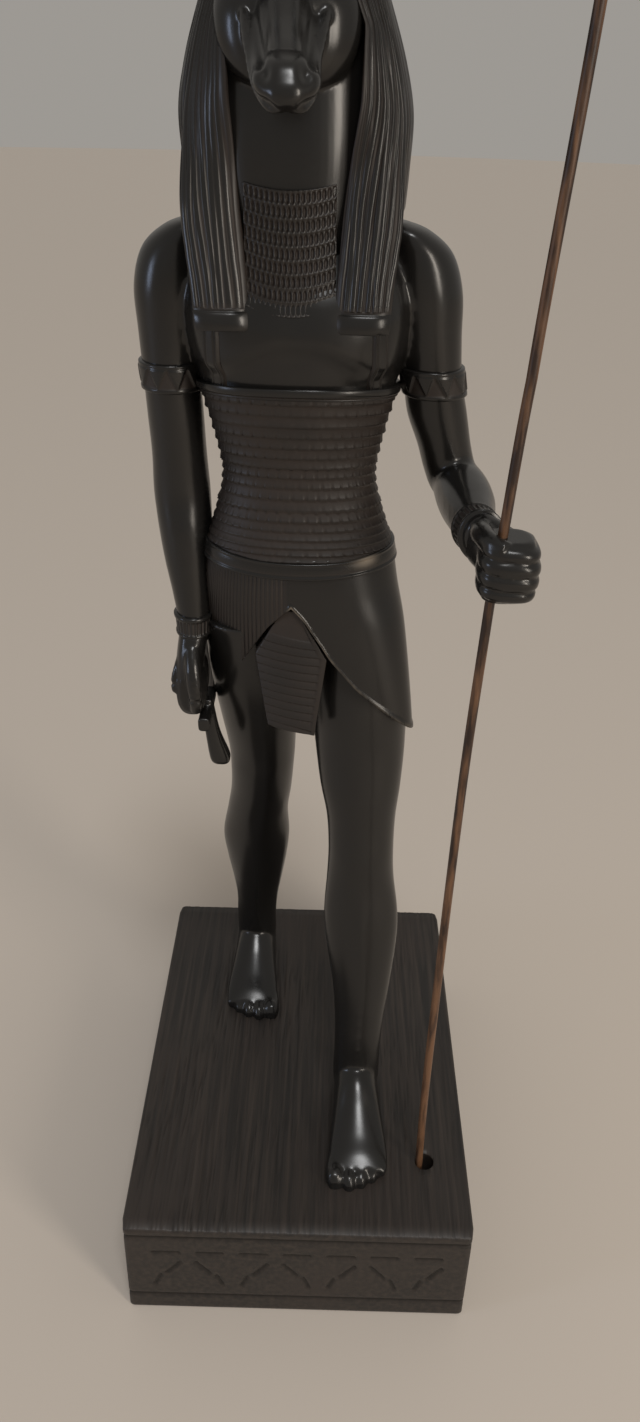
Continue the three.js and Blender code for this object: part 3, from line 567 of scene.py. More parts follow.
LEFT_UPPER_ARM = Limb([
    [382, 33, 5, 3, 6, 7],
    [379, 37, 5.5, 7.5, 11, 12],
    [372, 41.6, 6, 11, 13, 14],
    [360, 43.9, 6, 12.6, 13.5, 14],
    [345, 46, 6.5, 11.2, 12.5, 13],
    [331, 47.9, 8, 10.5, 12, 12.5],
    [318, 50.2, 9.5, 11, 11.5, 12],
    [306, 53.6, 11, 10, 11, 11.5],
    [296, 56.4, 12.5, 9.8, 10.5, 11],
    [288, 58.4, 13, 8.5, 9, 9.5],
    [283, 59, 12.5, 4, 5, 5],
])
LEFT_FOREARM = Limb([
    [22, 59.5, 291, 4, 5, 5],
    [14, 59.5, 291, 8.8, 9, 8.8],
    [0, 60.3, 291, 10.2, 10.5, 9.8],
    [-14, 60.8, 291, 10, 10, 9.8],
    [-28, 60.8, 291.5, 8.3, 8.6, 8.6],
    [-40, 61, 292, 6.9, 7.6, 7.8],
    [-50, 63, 292, 6.6, 8.5, 8.5],
], forward=True)


def chest_relief(angle, height):
    """The breast muscles, whose lower edges rise to the breastbone"""
    side = np.abs(turned(angle - FRONT))
    edge = 345 - 8 * ease(side, 0.05, 0.7)
    muscle = ease(height, edge - 3, edge + 3) * ease(height, 375, 352) * ease(side, 1.35, 0.75)
    return 2.6 * muscle - 0.9 * bump(side, 0, 0.12) * bump(height, 352, 12)


def on_chest(x, height, lift):
    """Points of the chest at distances sideways and heights, lifted off the surface"""
    t = TORSO.share(height)
    wide = TORSO.at(np.zeros_like(x), t)[:, 0]
    angle = np.arccos(np.clip(x / wide, -0.98, 0.98))
    for _ in range(6):
        there = TORSO.at(angle, t)[:, 0]
        angle = angle + (there - x) / (wide * np.maximum(0.25, np.sin(angle)))
    return TORSO.at(angle, t, chest_relief(angle, height) + lift)


def torso_parts():
    def chest(angle, t, v):
        return chest_relief(angle, TORSO.place(t))

    return [
        loft(TORSO, around=120, rings=90, start=TORSO.share(300), raised=chest),
        loft(RIGHT_ARM, around=48, rings=120),
        loft(LEFT_UPPER_ARM, around=48, rings=90),
        loft(LEFT_FOREARM, around=48, rings=60),
    ]


# Hands

def left_hand_parts():
    """The left fist closes on the staff: its back faces out and four fingers cross in front"""
    low, high, fingers = 280.4, 298.6, 4
    pitch = (high - low) / fingers
    knuckles = strand([
        [62, -46, 291, 6],
        [66, -54, 290, 6.2],
        [71.5, -60, 289.6, 5.4],
        [74.4, -66, 289.6, 4.2],
    ], around=24, per_span=8, flat=1.6)
    fist = Limb([
        [low - 1, 68, -66.6, 7, 6.4, 6.4],
        [low + 1, 68.1, -66.8, 9, 8.6, 8.8],
        [289.5, 68.4, -67, 9.8, 9.6, 9.6],
        [high - 1, 68.3, -66.6, 9, 8.8, 9.4],
        [high + 1, 68, -66, 6.6, 6, 7],
    ], square=2.8)

    def grooves(angle, t, v):
        slant = fist.place(t) + 0.8 * np.cos(angle)
        between = np.abs(np.sin(pi * (slant - low) / pitch))
        return 0.3 - 1.5 * ease(np.sin(angle), -0.5, 0.2) * (1 - between) ** 2.2

    thumb = strand([[61, -52, 296, 4], [60.4, -61, 298, 3.7], [62, -69.5, 298.6, 3.2], [66.5, -74, 298, 2.6]])
    return [knuckles, loft(fist, around=96, rings=60, raised=grooves), thumb]


def right_hand_parts():
    """The right fist hangs with its thumb forward and its four fingers closed on the cross from outside"""
    pitch, length = 5.3, 22.2
    hand = Limb([
        [231, -42.4, 1.4, 5.6, 8.4, 8],
        [222, -43.8, 0.4, 5.6, 10, 9.6],
        [212, -45, 0, 5.4, 10.6, 10.6],
        [205, -45, 0, 4, 9.6, 9.6],
    ], square=2.6)
    fist = Limb([
        [11.6, -44, 211, 4, 5, 7],
        [9, -44.2, 209.6, 6, 8, 11],
        [-6, -44, 208.2, 6.4, 8, 11.6],
        [-10.6, -43.6, 208.4, 5, 6, 9.6],
    ], forward=True, square=2.7)

    def fingers(angle, t, v):
        between = np.abs(np.sin(pi * t * length / pitch))
        return -1.5 * (1 - between) ** 2.2 * ease(np.sin(angle), 0.7, 0.3)

    parts = [loft(hand, around=48, rings=30), loft(fist, around=48, rings=60, raised=fingers)]
    parts.append(strand([
        [-42.6, -6, 226, 3.2],
        [-42, -11, 218, 3.4],
        [-41.4, -12.8, 208, 3.1],
        [-41.8, -11.6, 200.5, 2.2],
    ]))
    for y in (-7, -2, 3.4, 8):
        parts.append(strand([[-46.5, y * 0.5, 226, 1], [-50, y, 214, 1.5], [-50, y * 1.05, 207, 1.8]]))
    return parts


# Head

def head_parts():
    """Cheeks and throat fill the wig's opening, and the snout droops forward between two lip ridges"""
    skull = Limb([
        [16, -1.5, 440, 12, 14, 14],
        [4, -1.7, 440, 19, 19, 22],
        [-8, -1.8, 438, 22, 17, 21],
        [-15, -2, 436, 21, 15, 19],
        [-20, -2.2, 435, 16.5, 12, 15.5],
        [-23, -2.4, 434, 9, 8, 9],
    ], forward=True, square=2.3)
    snout = Limb([
        [-10, -2.4, 437, 13, 12, 14],
        [-22, -2.6, 434, 12.2, 10, 13],
        [-35, -2, 427.5, 10.3, 7.6, 9.8],
        [-45, -1.4, 423.8, 9, 6.2, 8.4],
        [-53, -0.8, 422, 9.3, 6, 7.6],
        [-58, -0.6, 420.3, 8, 5.2, 6],
        [-61.5, -0.6, 418.6, 4.2, 2.8, 3],
        [-62.5, -0.6, 418.4, 2, 1.2, 1.4],
    ], forward=True, square=2.2)
    bridge = Limb([
        [-8, -2.2, 449, 6.5, 4, 6],
        [-20, -2.5, 443.5, 5.6, 3, 6],
        [-34, -2, 434, 4.9, 3, 5],
        [-46, -1.3, 428, 4.9, 3, 4],
        [-52, -0.9, 426, 4, 1.6, 3],
    ], forward=True, square=2.8)
    throat = Limb([
        [368, -1.2, 2, 22, 17, 16],
        [380, -1.3, 2, 23, 20, 16],
        [392, -1.6, 1, 24, 19.5, 16],
        [406, -1.8, 0, 25, 18.5, 16],
        [420, -1.9, 0, 25, 17.5, 16],
        [434, -1.8, 0, 24, 15, 16],
    ], square=2.6)

    def valleys(angle, t, v):
        beside = bump(np.abs(turned(angle - FRONT)), 0.95, 0.3) * ease(t, 0.72, 0.5)
        below = bump(np.abs(turned(angle + FRONT)), 0.85, 0.35) * ease(t, 0.85, 0.75)
        return -2.2 * beside - 1.3 * below

    parts = [
        loft(skull, around=96, rings=60),
        loft(snout, around=96, rings=90, raised=valleys),
        loft(bridge, around=32, rings=60),
        loft(throat, around=64, rings=40),
    ]
    return parts + [part for side in (-1, 1) for part in head_side_parts(side)]


def head_side_parts(side):
    """One side's lip ridge, brow, eye with its raised rim, and ear"""
    middle = -2.2
    lip = strand([
        [middle + side * 12.4, -18, 440.6, 1.4],
        [middle + side * 11.4, -25, 435.4, 1.5],
        [middle + side * 9.6, -36, 427.3, 1.4],
        [middle + 1 + side * 8, -48, 419.8, 1.3],
        [middle + 1.5 + side * 4.8, -56.5, 415.2, 1.1],
        [middle + 1.6 + side * 0.8, -58.4, 414.9, 1],
    ], per_span=12)
    brow = strand([
        [middle + side * 7, -19, 448, 1.2],
        [middle + side * 13, -18.5, 449.5, 1.7],
        [middle + side * 19.5, -13, 446.5, 1.2],
    ], per_span=12)
    lid = strand([
        [middle + side * 9.5, -20.6, 443.6, 0.5],
        [middle + side * 12.5, -20.2, 440.6, 0.9],
        [middle + side * 16.5, -17.8, 440, 0.9],
        [middle + side * 20.5, -13, 442.4, 0.5],
    ], per_span=12)
    eye = ball((middle + side * 15, -15.4, 443), (5, 3.2, 2.7), side * 0.45)
    ear = Limb([
        [452, side * 11, 2, 4, 3, 4],
        [470, side * 12.6, 3, 5, 3.2, 3.6],
        [495, side * 14.4, 4.5, 6.2, 3, 3],
        [515, side * 15.8, 6, 7, 2.6, 2.6],
        [523, side * 16.4, 6.8, 7, 2.2, 2.2],
    ], square=2.6)

    def hollow(angle, t, v):
        return -2.4 * bump(turned(angle - FRONT), 0, 0.55) * ease(t, 1.02, 0.95)

    return [lip, brow, lid, eye, loft(ear, around=64, rings=80, raised=hollow)]


def carve_head(mesh):
    """Nostrils with their rims, the pits at the mouth's corners and the folds beside the bridge"""
    nostrils = [(4.6, -56.5, 423), (-6.2, -56.5, 423)]
    spots = [(spot, (3.4, 6, 3.6), 0.9) for spot in nostrils]
    spots += [(spot, (1.9, 5, 2.4), -2.6) for spot in nostrils]
    spots += [((x, -30, 424.5), (1.6, 5, 2.4), -2) for x in (9.9, -13.5)]
    spots += [((-0.8, -59, 424.5), (4, 4, 3), 0.5)]
    press(mesh, spots)


# Wig

FACE_OPENING = [[350, 13.4], [366, 14.4], [384, 16], [403, 18], [416, 19.8], [436, 20.5], [447, 16], [454, 2]]
LAPPET_OUTER = [[350, 31.4], [366, 33], [380, 34.8], [390, 35.4], [410, 36.4]]
LAPPET_FRONT = [[350, -24.4], [366, -22.2], [384, -18.6], [400, -16], [415, -14.6]]
LAPPET_SHIFT = 1.2
TAIL_HALF = [[350, 21], [372, 26], [390, 31]]
TAIL_BACK = [[350, 39], [372, 39.5], [396, 42]]
TAIL_DROP = 12
WIG = Limb([
    [472.5, 0, 8, 0.3, 0.3, 0.3],
    [471, 0, 8, 5, 5, 7],
    [467, 0, 8, 14, 14, 19],
    [457, 0, 8, 23, 20, 29],
    [442, 0, 8, 29, 25, 33],
    [427, 0, 8, 34, 28, 35.5],
    [413, 0, 8, 36.8, 29, 36],
    [398, 0, 8, 36.2, 29.5, 35],
    [384, 0, 8, 35, 29, 34],
    [372, 0, 8, 33.5, 29, 32],
    [350, 0, 8, 32, 29, 31],
], square=2.5)
# Heights of the wig's rows, closer at the crown and at the bands that end its lappets
WIG_LEVELS = [472.5, 471, 467, 458, 444, 429, 414, 400, 386, 370, 357.6, 357.2, 356.4, 354, 352,
              LAPPET_END + 0.6, LAPPET_END]


def lock_relief(locks, height):
    """Long wavy locks side by side, each a rounded ridge of its own width and height"""
    waved = locks + 0.16 * np.sin(height / 19 + 1.7 * np.floor(locks)) + 0.07 * np.sin(height / 7 + locks)
    number = np.floor(waved)
    across = 2 * (waved - number) - 1
    own = 0.75 + 0.35 * np.sin(12.9898 * number + 4.1)
    split = 0.22 * bump(across, 0.15 * np.sin(7 * number), 0.16) * (np.sin(5.3 * number) > 0.1)
    return own * (1 - np.abs(across) ** 3.2) - split, np.clip(1.25 * np.abs(across) ** 4, 0, 1)


def wig_surface(u, v):
    """The wig as one form with four runs of columns to each side of the middle: the opening of the face, the
    lappet, the shoulder and the tail. Below the shoulders only the lappets and the tail stand out."""
    notch, lappet_end, tail_start, half = 2, 10, 16, 24
    height = np.interp(v, np.linspace(0, 1, len(WIG_LEVELS)), WIG_LEVELS)
    t = WIG.share(height)
    column = np.abs(2 * u - 1) * half
    side = np.where(u > 0.5, -1, 1)
    wide = np.maximum(WIG.half(t), 1)
    opening = np.arcsin(np.clip(read(FACE_OPENING, height) / wide, 0.02, 0.98) ** (2.5 / 2))
    spread = np.select(
        [column < notch, column < lappet_end, column < tail_start],
        [opening * column / notch,
         mix(opening, 1.08, (column - notch) / (lappet_end - notch)),
         mix(1.08, 2.18, (column - lappet_end) / (tail_start - lappet_end))],
        mix(2.18, pi, (column - tail_start) / (half - tail_start)),
    )
    locks = np.interp(column, [0, notch, lappet_end, tail_start, half], [-1, 0, 8, 23, 38]) + 50 * (side > 0)
    relief, groove = lock_relief(locks, height)
    crown = ease(WIG.half(t), 2, 16)
    in_band = ease(height, 357.5, 357.1)
    lock = 0.85 * relief * crown * (1 - in_band)
    points = WIG.at(FRONT - side * spread, t, lock)
    hang = ease(height, 422, 384)
    across = (column - notch) / (lappet_end - notch)
    on_opening = column < notch
    on_lappet = (column >= notch) & (column <= lappet_end)
    on_shoulder = (column > lappet_end) & (column < tail_start)
    on_tail = column >= tail_start
    points[on_opening, 1] = np.maximum(points[on_opening, 1], -3)
    rounding = 2.4 * np.abs(2 * across - 1) ** 3
    reach = mix(read(FACE_OPENING, height), read(LAPPET_OUTER, height), across)
    rounded = np.sqrt(np.clip(1 - ((height - 353.6) / 2.9) ** 2, 0, 1))
    roll = np.where(height > 356.3, 0.5, 0.75 + 1.1 * rounded)
    front = read(LAPPET_FRONT, height) + rounding - lock - in_band * roll
    points[:, 0] = np.where(on_lappet, mix(points[:, 0], side * reach - LAPPET_SHIFT, hang), points[:, 0])
    points[:, 1] = np.where(on_lappet, mix(points[:, 1], front, hang), points[:, 1])
    shoulder = (column - lappet_end) / (tail_start - lappet_end)
    hidden = np.column_stack([side * 22.0, mix(4, 18, shoulder), height])
    tuck = (ease(height, 386, 370) * on_shoulder)[:, None]
    points = mix(points, hidden, tuck)
    behind = np.clip((half - column) / (half - tail_start), 0, 1)
    tail_side = side * read(TAIL_HALF, height) * behind
    points[:, 0] = np.where(on_tail, mix(points[:, 0], tail_side, hang), points[:, 0])
    tail = read(TAIL_BACK, height) - 2 * behind**4 + lock
    points[:, 1] = np.where(on_tail, mix(points[:, 1], tail, hang), points[:, 1])
    points[:, 2] -= np.where(on_tail, TAIL_DROP * hang * ease(height, 384, 350), 0)
    recess = groove * crown * (1 - in_band) * 0.9
    recess = recess + 0.5 * ease(column, 3.2, 2.2) + 0.5 * bump(height, 357.3, 0.6)
    return points, {"recess": np.clip(recess, 0, 1)}


# Collar, corset and straps

COLLAR_FACE = [[354, -23.8], [366, -21], [378, -20], [392, -20]]


def collar_surface(u, v):
    """Rows of upright beads on a net, the rows curving down in the middle"""
    across = 2 * u - 1
    height = mix(COLLAR["low"] + 3 * across**2, COLLAR["high"] + 2 * across**2, v)
    row = v * COLLAR["rows"]
    number = np.floor(row)
    bead = u * COLLAR["beads"] + 0.5 * (number % 2) + 0.12 * np.sin(2.1 * number)
    aside = 2 * (bead - np.floor(bead)) - 1
    up = 2 * (row - number) - 1
    oval = np.sqrt((aside / 0.74) ** 2 + (up / 0.84) ** 2)
    pit = ease(oval, 1.15, 0.55)
    rim = ease(v, 0, 0.03) * ease(v, 1, 0.97)
    scallop = 0.35 * ease(up, -0.3, -0.95) * (1 - aside**2)
    face = read(COLLAR_FACE, height) + mix(1.6, 4.2, v) * across**2
    x = COLLAR["x"] + across * COLLAR["half"]
    points = np.column_stack([x, face - 0.75 - scallop + 0.75 * pit * rim, height])
    return points, {"recess": np.clip(0.35 + 0.65 * pit, 0, 1)}


def corset_top(angle):
    aside = 1 - np.maximum(0, np.sin(angle))
    return TORSO.share(CORSET["high"] - CORSET["side_drop"] * aside)


def scales(angle, t, v):
    """Courses of scales like tiles laid brickwise, each swelling to a rounded lower lip"""
    course = v * CORSET["rows"]
    number = np.floor(course)
    down = 1 - (course - number)
    along = CORSET["around"] * angle / (2 * pi) + 0.5 * (number % 2) + 0.08 * np.sin(number * 2.4)
    tile = np.floor(along)
    aside = 2 * (along - tile) - 1
    own = 1 + 0.18 * np.sin(tile * 12.9 + number * 78.2)
    lip = down / (1 - 0.2 * np.abs(aside) ** 3)
    swell = np.where(lip < 1, np.clip(lip, 0, 1) ** 1.7, 0) * (1 - 0.85 * ease(np.abs(aside), 0.74, 1))
    return swell, own


def corset_parts():
    low = TORSO.share(CORSET["low"])
    depth = TORSO.share(CORSET["high"]) - TORSO.share(CORSET["high"] - TOP_BAND["depth"])

    def body_relief(angle, t, v):
        swell, own = scales(angle, t, v)
        return CORSET["proud"] - 0.35 + CORSET["lip"] * swell * own, {"recess": 0.85 - 0.6 * swell}

    def band_relief(angle, t, v):
        lift = TOP_BAND["proud"] + 0.5 * np.sin(pi * v) - 0.5 * bump(v, 0.2, 0.08)
        return lift, {"recess": 0.6 * bump(v, 0.2, 0.1)}

    around, rings = CORSET["around"] * SCALE_FACES[0], CORSET["rows"] * SCALE_FACES[1]
    body = loft(TORSO, around, rings, start=low, end=lambda angle: corset_top(angle) - depth / 2,
                raised=body_relief)
    band = loft(TORSO, around=160, rings=16, start=lambda angle: corset_top(angle) - depth, end=corset_top,
                raised=band_relief)
    return [body, band]


def strap_part(side):
    inner, outer, high, proud = 23.6, 28.6, 358, 1.1

    def place(u, v):
        height = mix(CORSET["high"] - 4, high, v)
        edge = ease(np.minimum(u, 1 - u), 0, 0.12)
        line = 0.35 * bump(np.minimum(u, 1 - u), 0.22, 0.05)
        points = on_chest(side * mix(inner, outer, u), height, proud * edge - line)
        return points, {"recess": 0.7 * (1 - edge) + line}

    return back(sheet(*GRIDS["strap"], place), (0, 3, 0))


# Kilt, belt and apron

HEM = {"reach": 43.5, "back": 190}
HEM_LINE = [[-43.5, 191], [-33, 201], [-24, 221], [-12.6, 240], [-2.5, 250], [2, 243.7], [10.4, 228.8],
            [20.6, 216.3], [31.8, 206.5], [43.5, 196]]
KILT = Limb([
    [269, 0, 5, 35.5, 22, 28],
    [255, 0, 5, 37.5, 23, 31],
    [240, 0.5, 6, 40, 23.5, 32],
    [220, 1, 7.5, 42, 23.5, 32],
    [200, 1.5, 9, 43.5, 23, 30],
    [184, 1.5, 10, 44.5, 22.5, 28],
], square=2.15, twists=[0, -0.05, -0.15, -0.27, -0.37, -0.43])


def hem_height(angle):
    """The hem is an upturned V in front, where the kilt's two sides cross, and nearly level behind"""
    line = read(HEM_LINE, HEM["reach"] * np.cos(angle))
    return np.where(np.sin(angle) > 0, line, mix(line, HEM["back"], np.clip(-2 * np.sin(angle), 0, 1)))


def kilt_surface(u, v):
    """A skirt whose pleats stand on the wearer's right; its rim turns under and closes round the legs"""
    pleat_start, pleat_end, pleats, proud = FRONT + 0.09, pi + 0.75, 48, 0.55
    # Two thirds of the columns are spent on the pleats
    angle = np.interp(u, [0, 0.67, 1], [pleat_start, pleat_end, pleat_start + 2 * pi])
    outside, rim = 0.7, 0.78
    down = np.clip(v / outside, 0, 1)
    hem = hem_height(angle)
    t = down * KILT.share(hem)
    height = KILT.place(t)
    along = (angle - pleat_start) / (pleat_end - pleat_start)
    pleated = (along <= 1) * ease(along, 0, 0.01) * ease(along, 1, 0.97)
    fold = along * pleats
    across = 2 * (fold - np.floor(fold)) - 1
    ridge = pleated * ease(down, 0.02, 0.2) * (proud * (1 - np.abs(across) ** 2.5) - 0.45)
    # The smooth side laps over the pleated one and ends in a thin raised edge
    hem_edge = (1 - pleated) * 0.45 * ease(height - hem, 2.2, 1.4) * ease(np.sin(angle), -0.2, 0.1)
    lift = ridge + hem_edge + 0.35 * (1 - pleated)
    turning = ease(v, outside, rim)
    lift = lift - 2.2 * turning
    points = KILT.at(angle, t, lift)
    inward = ease(v, rim, 1)[:, None]
    crotch = np.array([0, 8, 240])
    under = points + np.array([0, 0, 1]) * (turning * 1.2)[:, None]
    points = np.where((v > outside)[:, None], mix(under, crotch, inward), points)
    recess = np.clip(pleated * (0.35 + 0.5 * np.abs(across) ** 3) + (v > rim) * 0.9, 0, 1)
    # Painted highlight: a pale line just above the front hem's raised edge, broken up along its length
    worn = (1 - pleated) * bump(height - hem, 0.5, 0.5) * ease(np.sin(angle), 0, 0.4) * (v < rim)
    highlight_breaks = 0.5 + 0.5 * np.sin(angle * 61) * np.sin(angle * 37 + 1)
    return points, {"recess": recess, "worn": 0.75 * worn * highlight_breaks}


def belt_part():
    def rise(angle):
        return BELT["rise"] * np.cos(angle) ** 2

    def raised(angle, t, v):
        roll = 0.5 * ease(v, 0.3, 0.12) * ease(v, 0, 0.05)
        lift = BELT["proud"] - 0.2 + 0.3 * np.sin(pi * v) + roll + 0.45 * bump(v, 0.95, 0.05)
        # Painted highlight: a pale patch on the belt's front at the hip, over a little wax colour
        belt_highlight = bump(turned(angle - 0.85), 0, 0.14) * bump(v, 0.85, 0.3)
        return lift, {"worn": belt_highlight * 0.9, "recess": 0.5 * bump(v, 0.36, 0.05) + belt_highlight}

    return loft(TORSO, around=240, rings=24, start=lambda angle: TORSO.share(BELT["low"] + rise(angle)),
                end=lambda angle: TORSO.share(BELT["high"] + rise(angle)), raised=raised)


def apron_part():
    """The apron hangs from under the kilt's crossing, its cloth folded in level tucks"""
    x0, apex, shoulder, bottom, half, foot, tucks = -3.2, 248, 228.5, 197.5, 13.9, 9.2, 11

    def place(u, v):
        height = mix(bottom, apex, v)
        half_width = np.where(height > shoulder, mix(3, half, (apex - height) / (apex - shoulder)),
                              mix(half, foot, (shoulder - height) / (shoulder - bottom)))
        across = 2 * u - 1
        x = x0 + across * half_width
        slanted = height + 1.3 * across
        tuck = (slanted - bottom + 1.3) / 3.4
        part = tuck - np.floor(tuck)
        inside = ease(u, 0.93, 0.9) * (tuck < tucks + 1)
        ledge = 0.9 * ease(part, 0, 0.16) * (1 - 0.75 * part) * inside
        border = 0.7 * ease(u, 0.9, 0.93)
        face = mix(-19.5, -16, v) - 0.16 * (x - x0) + 0.012 * (x - x0) ** 2
        deep = np.clip(1 - ledge / 0.6 - border, 0, 1)
        points = np.column_stack([x, face - ledge - border, height - 1.3 * across * ease(v, 0.1, 0)])
        return points, {"recess": 0.4 + 0.5 * deep}

    return back(sheet(*GRIDS["apron"], place), (0, 6, 0))


# Bands and the looped cross

def arm_band(limb, high, low, proud=1.0, petals=10):
    """A band with rounded triangles between two rims"""
    def raised(angle, t, v):
        wave = np.abs(2 * ((petals * angle / (2 * pi)) % 1) - 1)
        inside = ease(v, 0.12, 0.2) * ease(v, 0.88, 0.8)
        petal = ease(wave - (v - 0.12) / 0.76, -0.12, 0.12)
        edges = 0.45 * (1 - inside) * ease(v, 0, 0.04) * ease(v, 1, 0.96)
        return proud - 0.25 + edges + 0.75 * inside * petal, {"recess": 0.8 * inside * (1 - petal)}

    return loft(limb, around=160, rings=30, start=limb.share(high), end=limb.share(low), raised=raised)


def bracelet(limb, start, end, proud=0.9):
    """A band of small upright ribs between two rims"""
    def raised(angle, t, v):
        inside = ease(v, 0.14, 0.22) * ease(v, 0.86, 0.78)
        between = inside * (1 - np.abs(np.sin(13 * angle)) ** 0.7)
        rims = 0.35 * (1 - inside) * ease(v, 0, 0.05) * ease(v, 1, 0.95)
        return proud + rims - 0.45 * between, {"recess": 0.9 * between}

    return loft(limb, around=156, rings=26, start=limb.share(start), end=limb.share(end), raised=raised)


def cross_parts():
    """The cross's loop is inside the fist; its arms and its flaring stem show below"""
    bar = Limb([
        [-15, -38.6, 196, 2.4, 3.2, 3.2],
        [-10, -38.6, 196, 2.4, 2.6, 2.6],
        [8, -38.6, 196, 2.4, 2.6, 2.6],
        [13, -38.6, 196, 2.4, 3.2, 3.2],
    ], forward=True, square=4)
    stem = Limb([
        [201, -38.6, -1, 2.4, 2.6, 2.6],
        [185, -37, 0, 3, 3.4, 3.4],
        [172, -34.6, 1.5, 4.2, 5, 5],
        [169, -34, 2, 3.4, 4.2, 4.2],
    ], square=3)
    return [loft(bar, around=32, rings=30), loft(stem, around=32, rings=30)]


# Plinth

PLINTH = {"width": 150, "depth": 208, "height": 55, "corner": 3, "cuts": (250, 36, 54)}
GROOVES = {"upper": 50, "lower": 10, "half": 1.2, "cut": 0.9}
SIGNS = {"low": 16, "high": 43, "half": 66, "count": 7, "cut": 0.7, "stroke": 0.85}
SOCKET = {"x": 56, "y": -66.5, "radius": 4.2, "depth": 23}


def sign_strokes():
    """Short strokes in plain groups across the front, each (x, z, half length, tilt)"""
    pitch = 2 * SIGNS["half"] / SIGNS["count"]
    strokes = []
    for i in range(SIGNS["count"]):
        x = -SIGNS["half"] + (i + 0.5) * pitch
        way = -1 if i % 2 else 1
        middle = (SIGNS["low"] + SIGNS["high"]) / 2
        strokes.append((x, SIGNS["high"] - 3, pitch * 0.28, 0))
        strokes.append((x + way * 3, middle, pitch * 0.25, way * 0.9))
        strokes.append((x - way * 4, SIGNS["low"] + 5, pitch * 0.18, way * 1.2))
    return strokes


def plinth_mesh():
    """A block cut along its edges into small faces, then rounded, grooved, grained and signed"""
    bm = bmesh.new()
    bmesh.ops.create_cube(bm, size=1)
    for axis, cuts in enumerate(PLINTH["cuts"]):
        edges = [e for e in bm.edges if abs((e.verts[0].co - e.verts[1].co)[axis]) > 0.9]
        bmesh.ops.subdivide_edges(bm, edges=edges, cuts=cuts, use_grid_fill=True)
    points = np.array([vert.co for vert in bm.verts]) + (0, 0, 0.5)
    points *= (PLINTH["width"], PLINTH["depth"], PLINTH["height"])
    x, y, z = points.T
    recess = np.zeros(len(points))
    half = np.array([PLINTH["width"], PLINTH["depth"]]) / 2
    inset = GROOVES["cut"] * np.maximum(*(np.clip(1 - np.abs(z - GROOVES[g]) / GROOVES["half"], 0, 1)
                                          for g in ("upper", "lower")))
    recess += inset
    edge = 0.8 * ease(z, PLINTH["height"] - 0.8, PLINTH["height"]) + 1.2 * ease(z, 1.2, 0)
    front = (y < -half[1] + 1e-6) & (z > 0)
    cut = np.zeros(len(points))
    for sx, sz, length, tilt in sign_strokes():
        along = (x - sx) * np.cos(tilt) + (z - sz) * np.sin(tilt)
        aside = (z - sz) * np.cos(tilt) - (x - sx) * np.sin(tilt)
        outside = np.hypot(np.maximum(np.abs(along) - length, 0), aside)
        cut = np.maximum(cut, ease(outside, SIGNS["stroke"] + 0.3, SIGNS["stroke"] - 0.3))
    recess += 0.8 * cut * front
    inward = inset + edge
    scale = (half - inward[:, None]) / half
    flat = np.column_stack([x, y]) * scale
    flat[:, 1] += SIGNS["cut"] * cut * front
    corner = PLINTH["corner"]
    past = np.abs(flat) - (half - inward[:, None] - corner)
    inside = (past > 0).all(1)
    reach = np.abs(past).max(1) / np.maximum(np.hypot(*past.T), 1e-6)
    rounded = np.sign(flat) * (np.abs(flat) - past + past * reach[:, None])
    flat = np.where(inside[:, None], rounded, flat)
    top = z > PLINTH["height"] - 1e-6
    warp = noisy(np.column_stack([x, y / 9, z]), 9, 3) * 1.6
    lines = np.abs(noisy(np.column_stack([x + warp, y / 26, z * 0]), 1.9, 5))
    depth_share = 0.45 + 0.55 * ease(noisy(np.column_stack([x / 2, y / 4, z]), 14, 9), -0.2, 0.4)
    grain = 0.55 * ease(lines, 0.12, 0.0) * depth_share * top
    recess += grain
    placed = np.column_stack([flat, z - grain])
    layer = bm.verts.layers.float.new("recess")
    for vert, point, depth in zip(bm.verts, placed, np.clip(recess, 0, 1)):
        vert.co = point
        vert[layer] = depth
    return bm


def bore_socket(plinth):
    """Bores the socket that the staff stands in"""
    bm = bmesh.new()
    radius = SOCKET["radius"] * MM
    bmesh.ops.create_cone(bm, cap_ends=True, segments=48, radius1=radius, radius2=radius,
                          depth=2 * SOCKET["depth"] * MM)
    bmesh.ops.translate(bm, verts=bm.verts, vec=Vector((SOCKET["x"], SOCKET["y"], PLINTH["height"])) * MM)
    mesh = bpy.data.meshes.new("drill")
    bm.to_mesh(mesh)
    bm.free()
    drill = bpy.data.objects.new("drill", mesh)
    bpy.context.scene.collection.objects.link(drill)
    cut = plinth.modifiers.new("Bore", "BOOLEAN")
    cut.operation = "DIFFERENCE"
    cut.object = drill
    bored = bpy.data.meshes.new_from_object(plinth.evaluated_get(bpy.context.evaluated_depsgraph_get()))
    plinth.modifiers.clear()
    plinth.data = bored
    bpy.data.objects.remove(drill)


# Staff

def staff_parts():
    """A bowed dowel and the small slanting animal head on its top"""
    def rod(u, v):
        height = mix(STAFF["foot"], STAFF["top"], v)
        angle = 2 * pi * u
        knots = np.array(STAFF_RUN)
        t = np.interp(height, knots[:, 0], np.linspace(0, 1, len(knots)))
        x = curve(knots[:, 1:2], t)[:, 0] + STAFF["radius"] * np.cos(angle)
        y = STAFF["y"] - STAFF["radius"] * np.sin(angle)
        return np.column_stack([x, y, height + SOLES])

    x, y, z = STAFF_RUN[-1][1], STAFF["y"], STAFF["top"] + SOLES
    head = Limb([
        [y + 5, x, z + 3, 1.6, 2, 2],
        [y, x, z + 2, 2.6, 3.4, 3.4],
        [y - 8, x, z - 0.5, 2, 2.4, 2.2],
        [y - 16, x, z - 5, 1.4, 1.5, 1.5],
    ], forward=True)
    ears = Limb([[z + 2, x, y + 3, 2, 1.6, 1.6], [z + 14, x, y + 6.5, 2.2, 1.2, 1.2]], square=3)
    top = [loft(head, around=32, rings=40), loft(ears, around=32, rings=24)]
    return [close(sheet(*GRIDS["staff"], rod)), *top]


# What a user may change

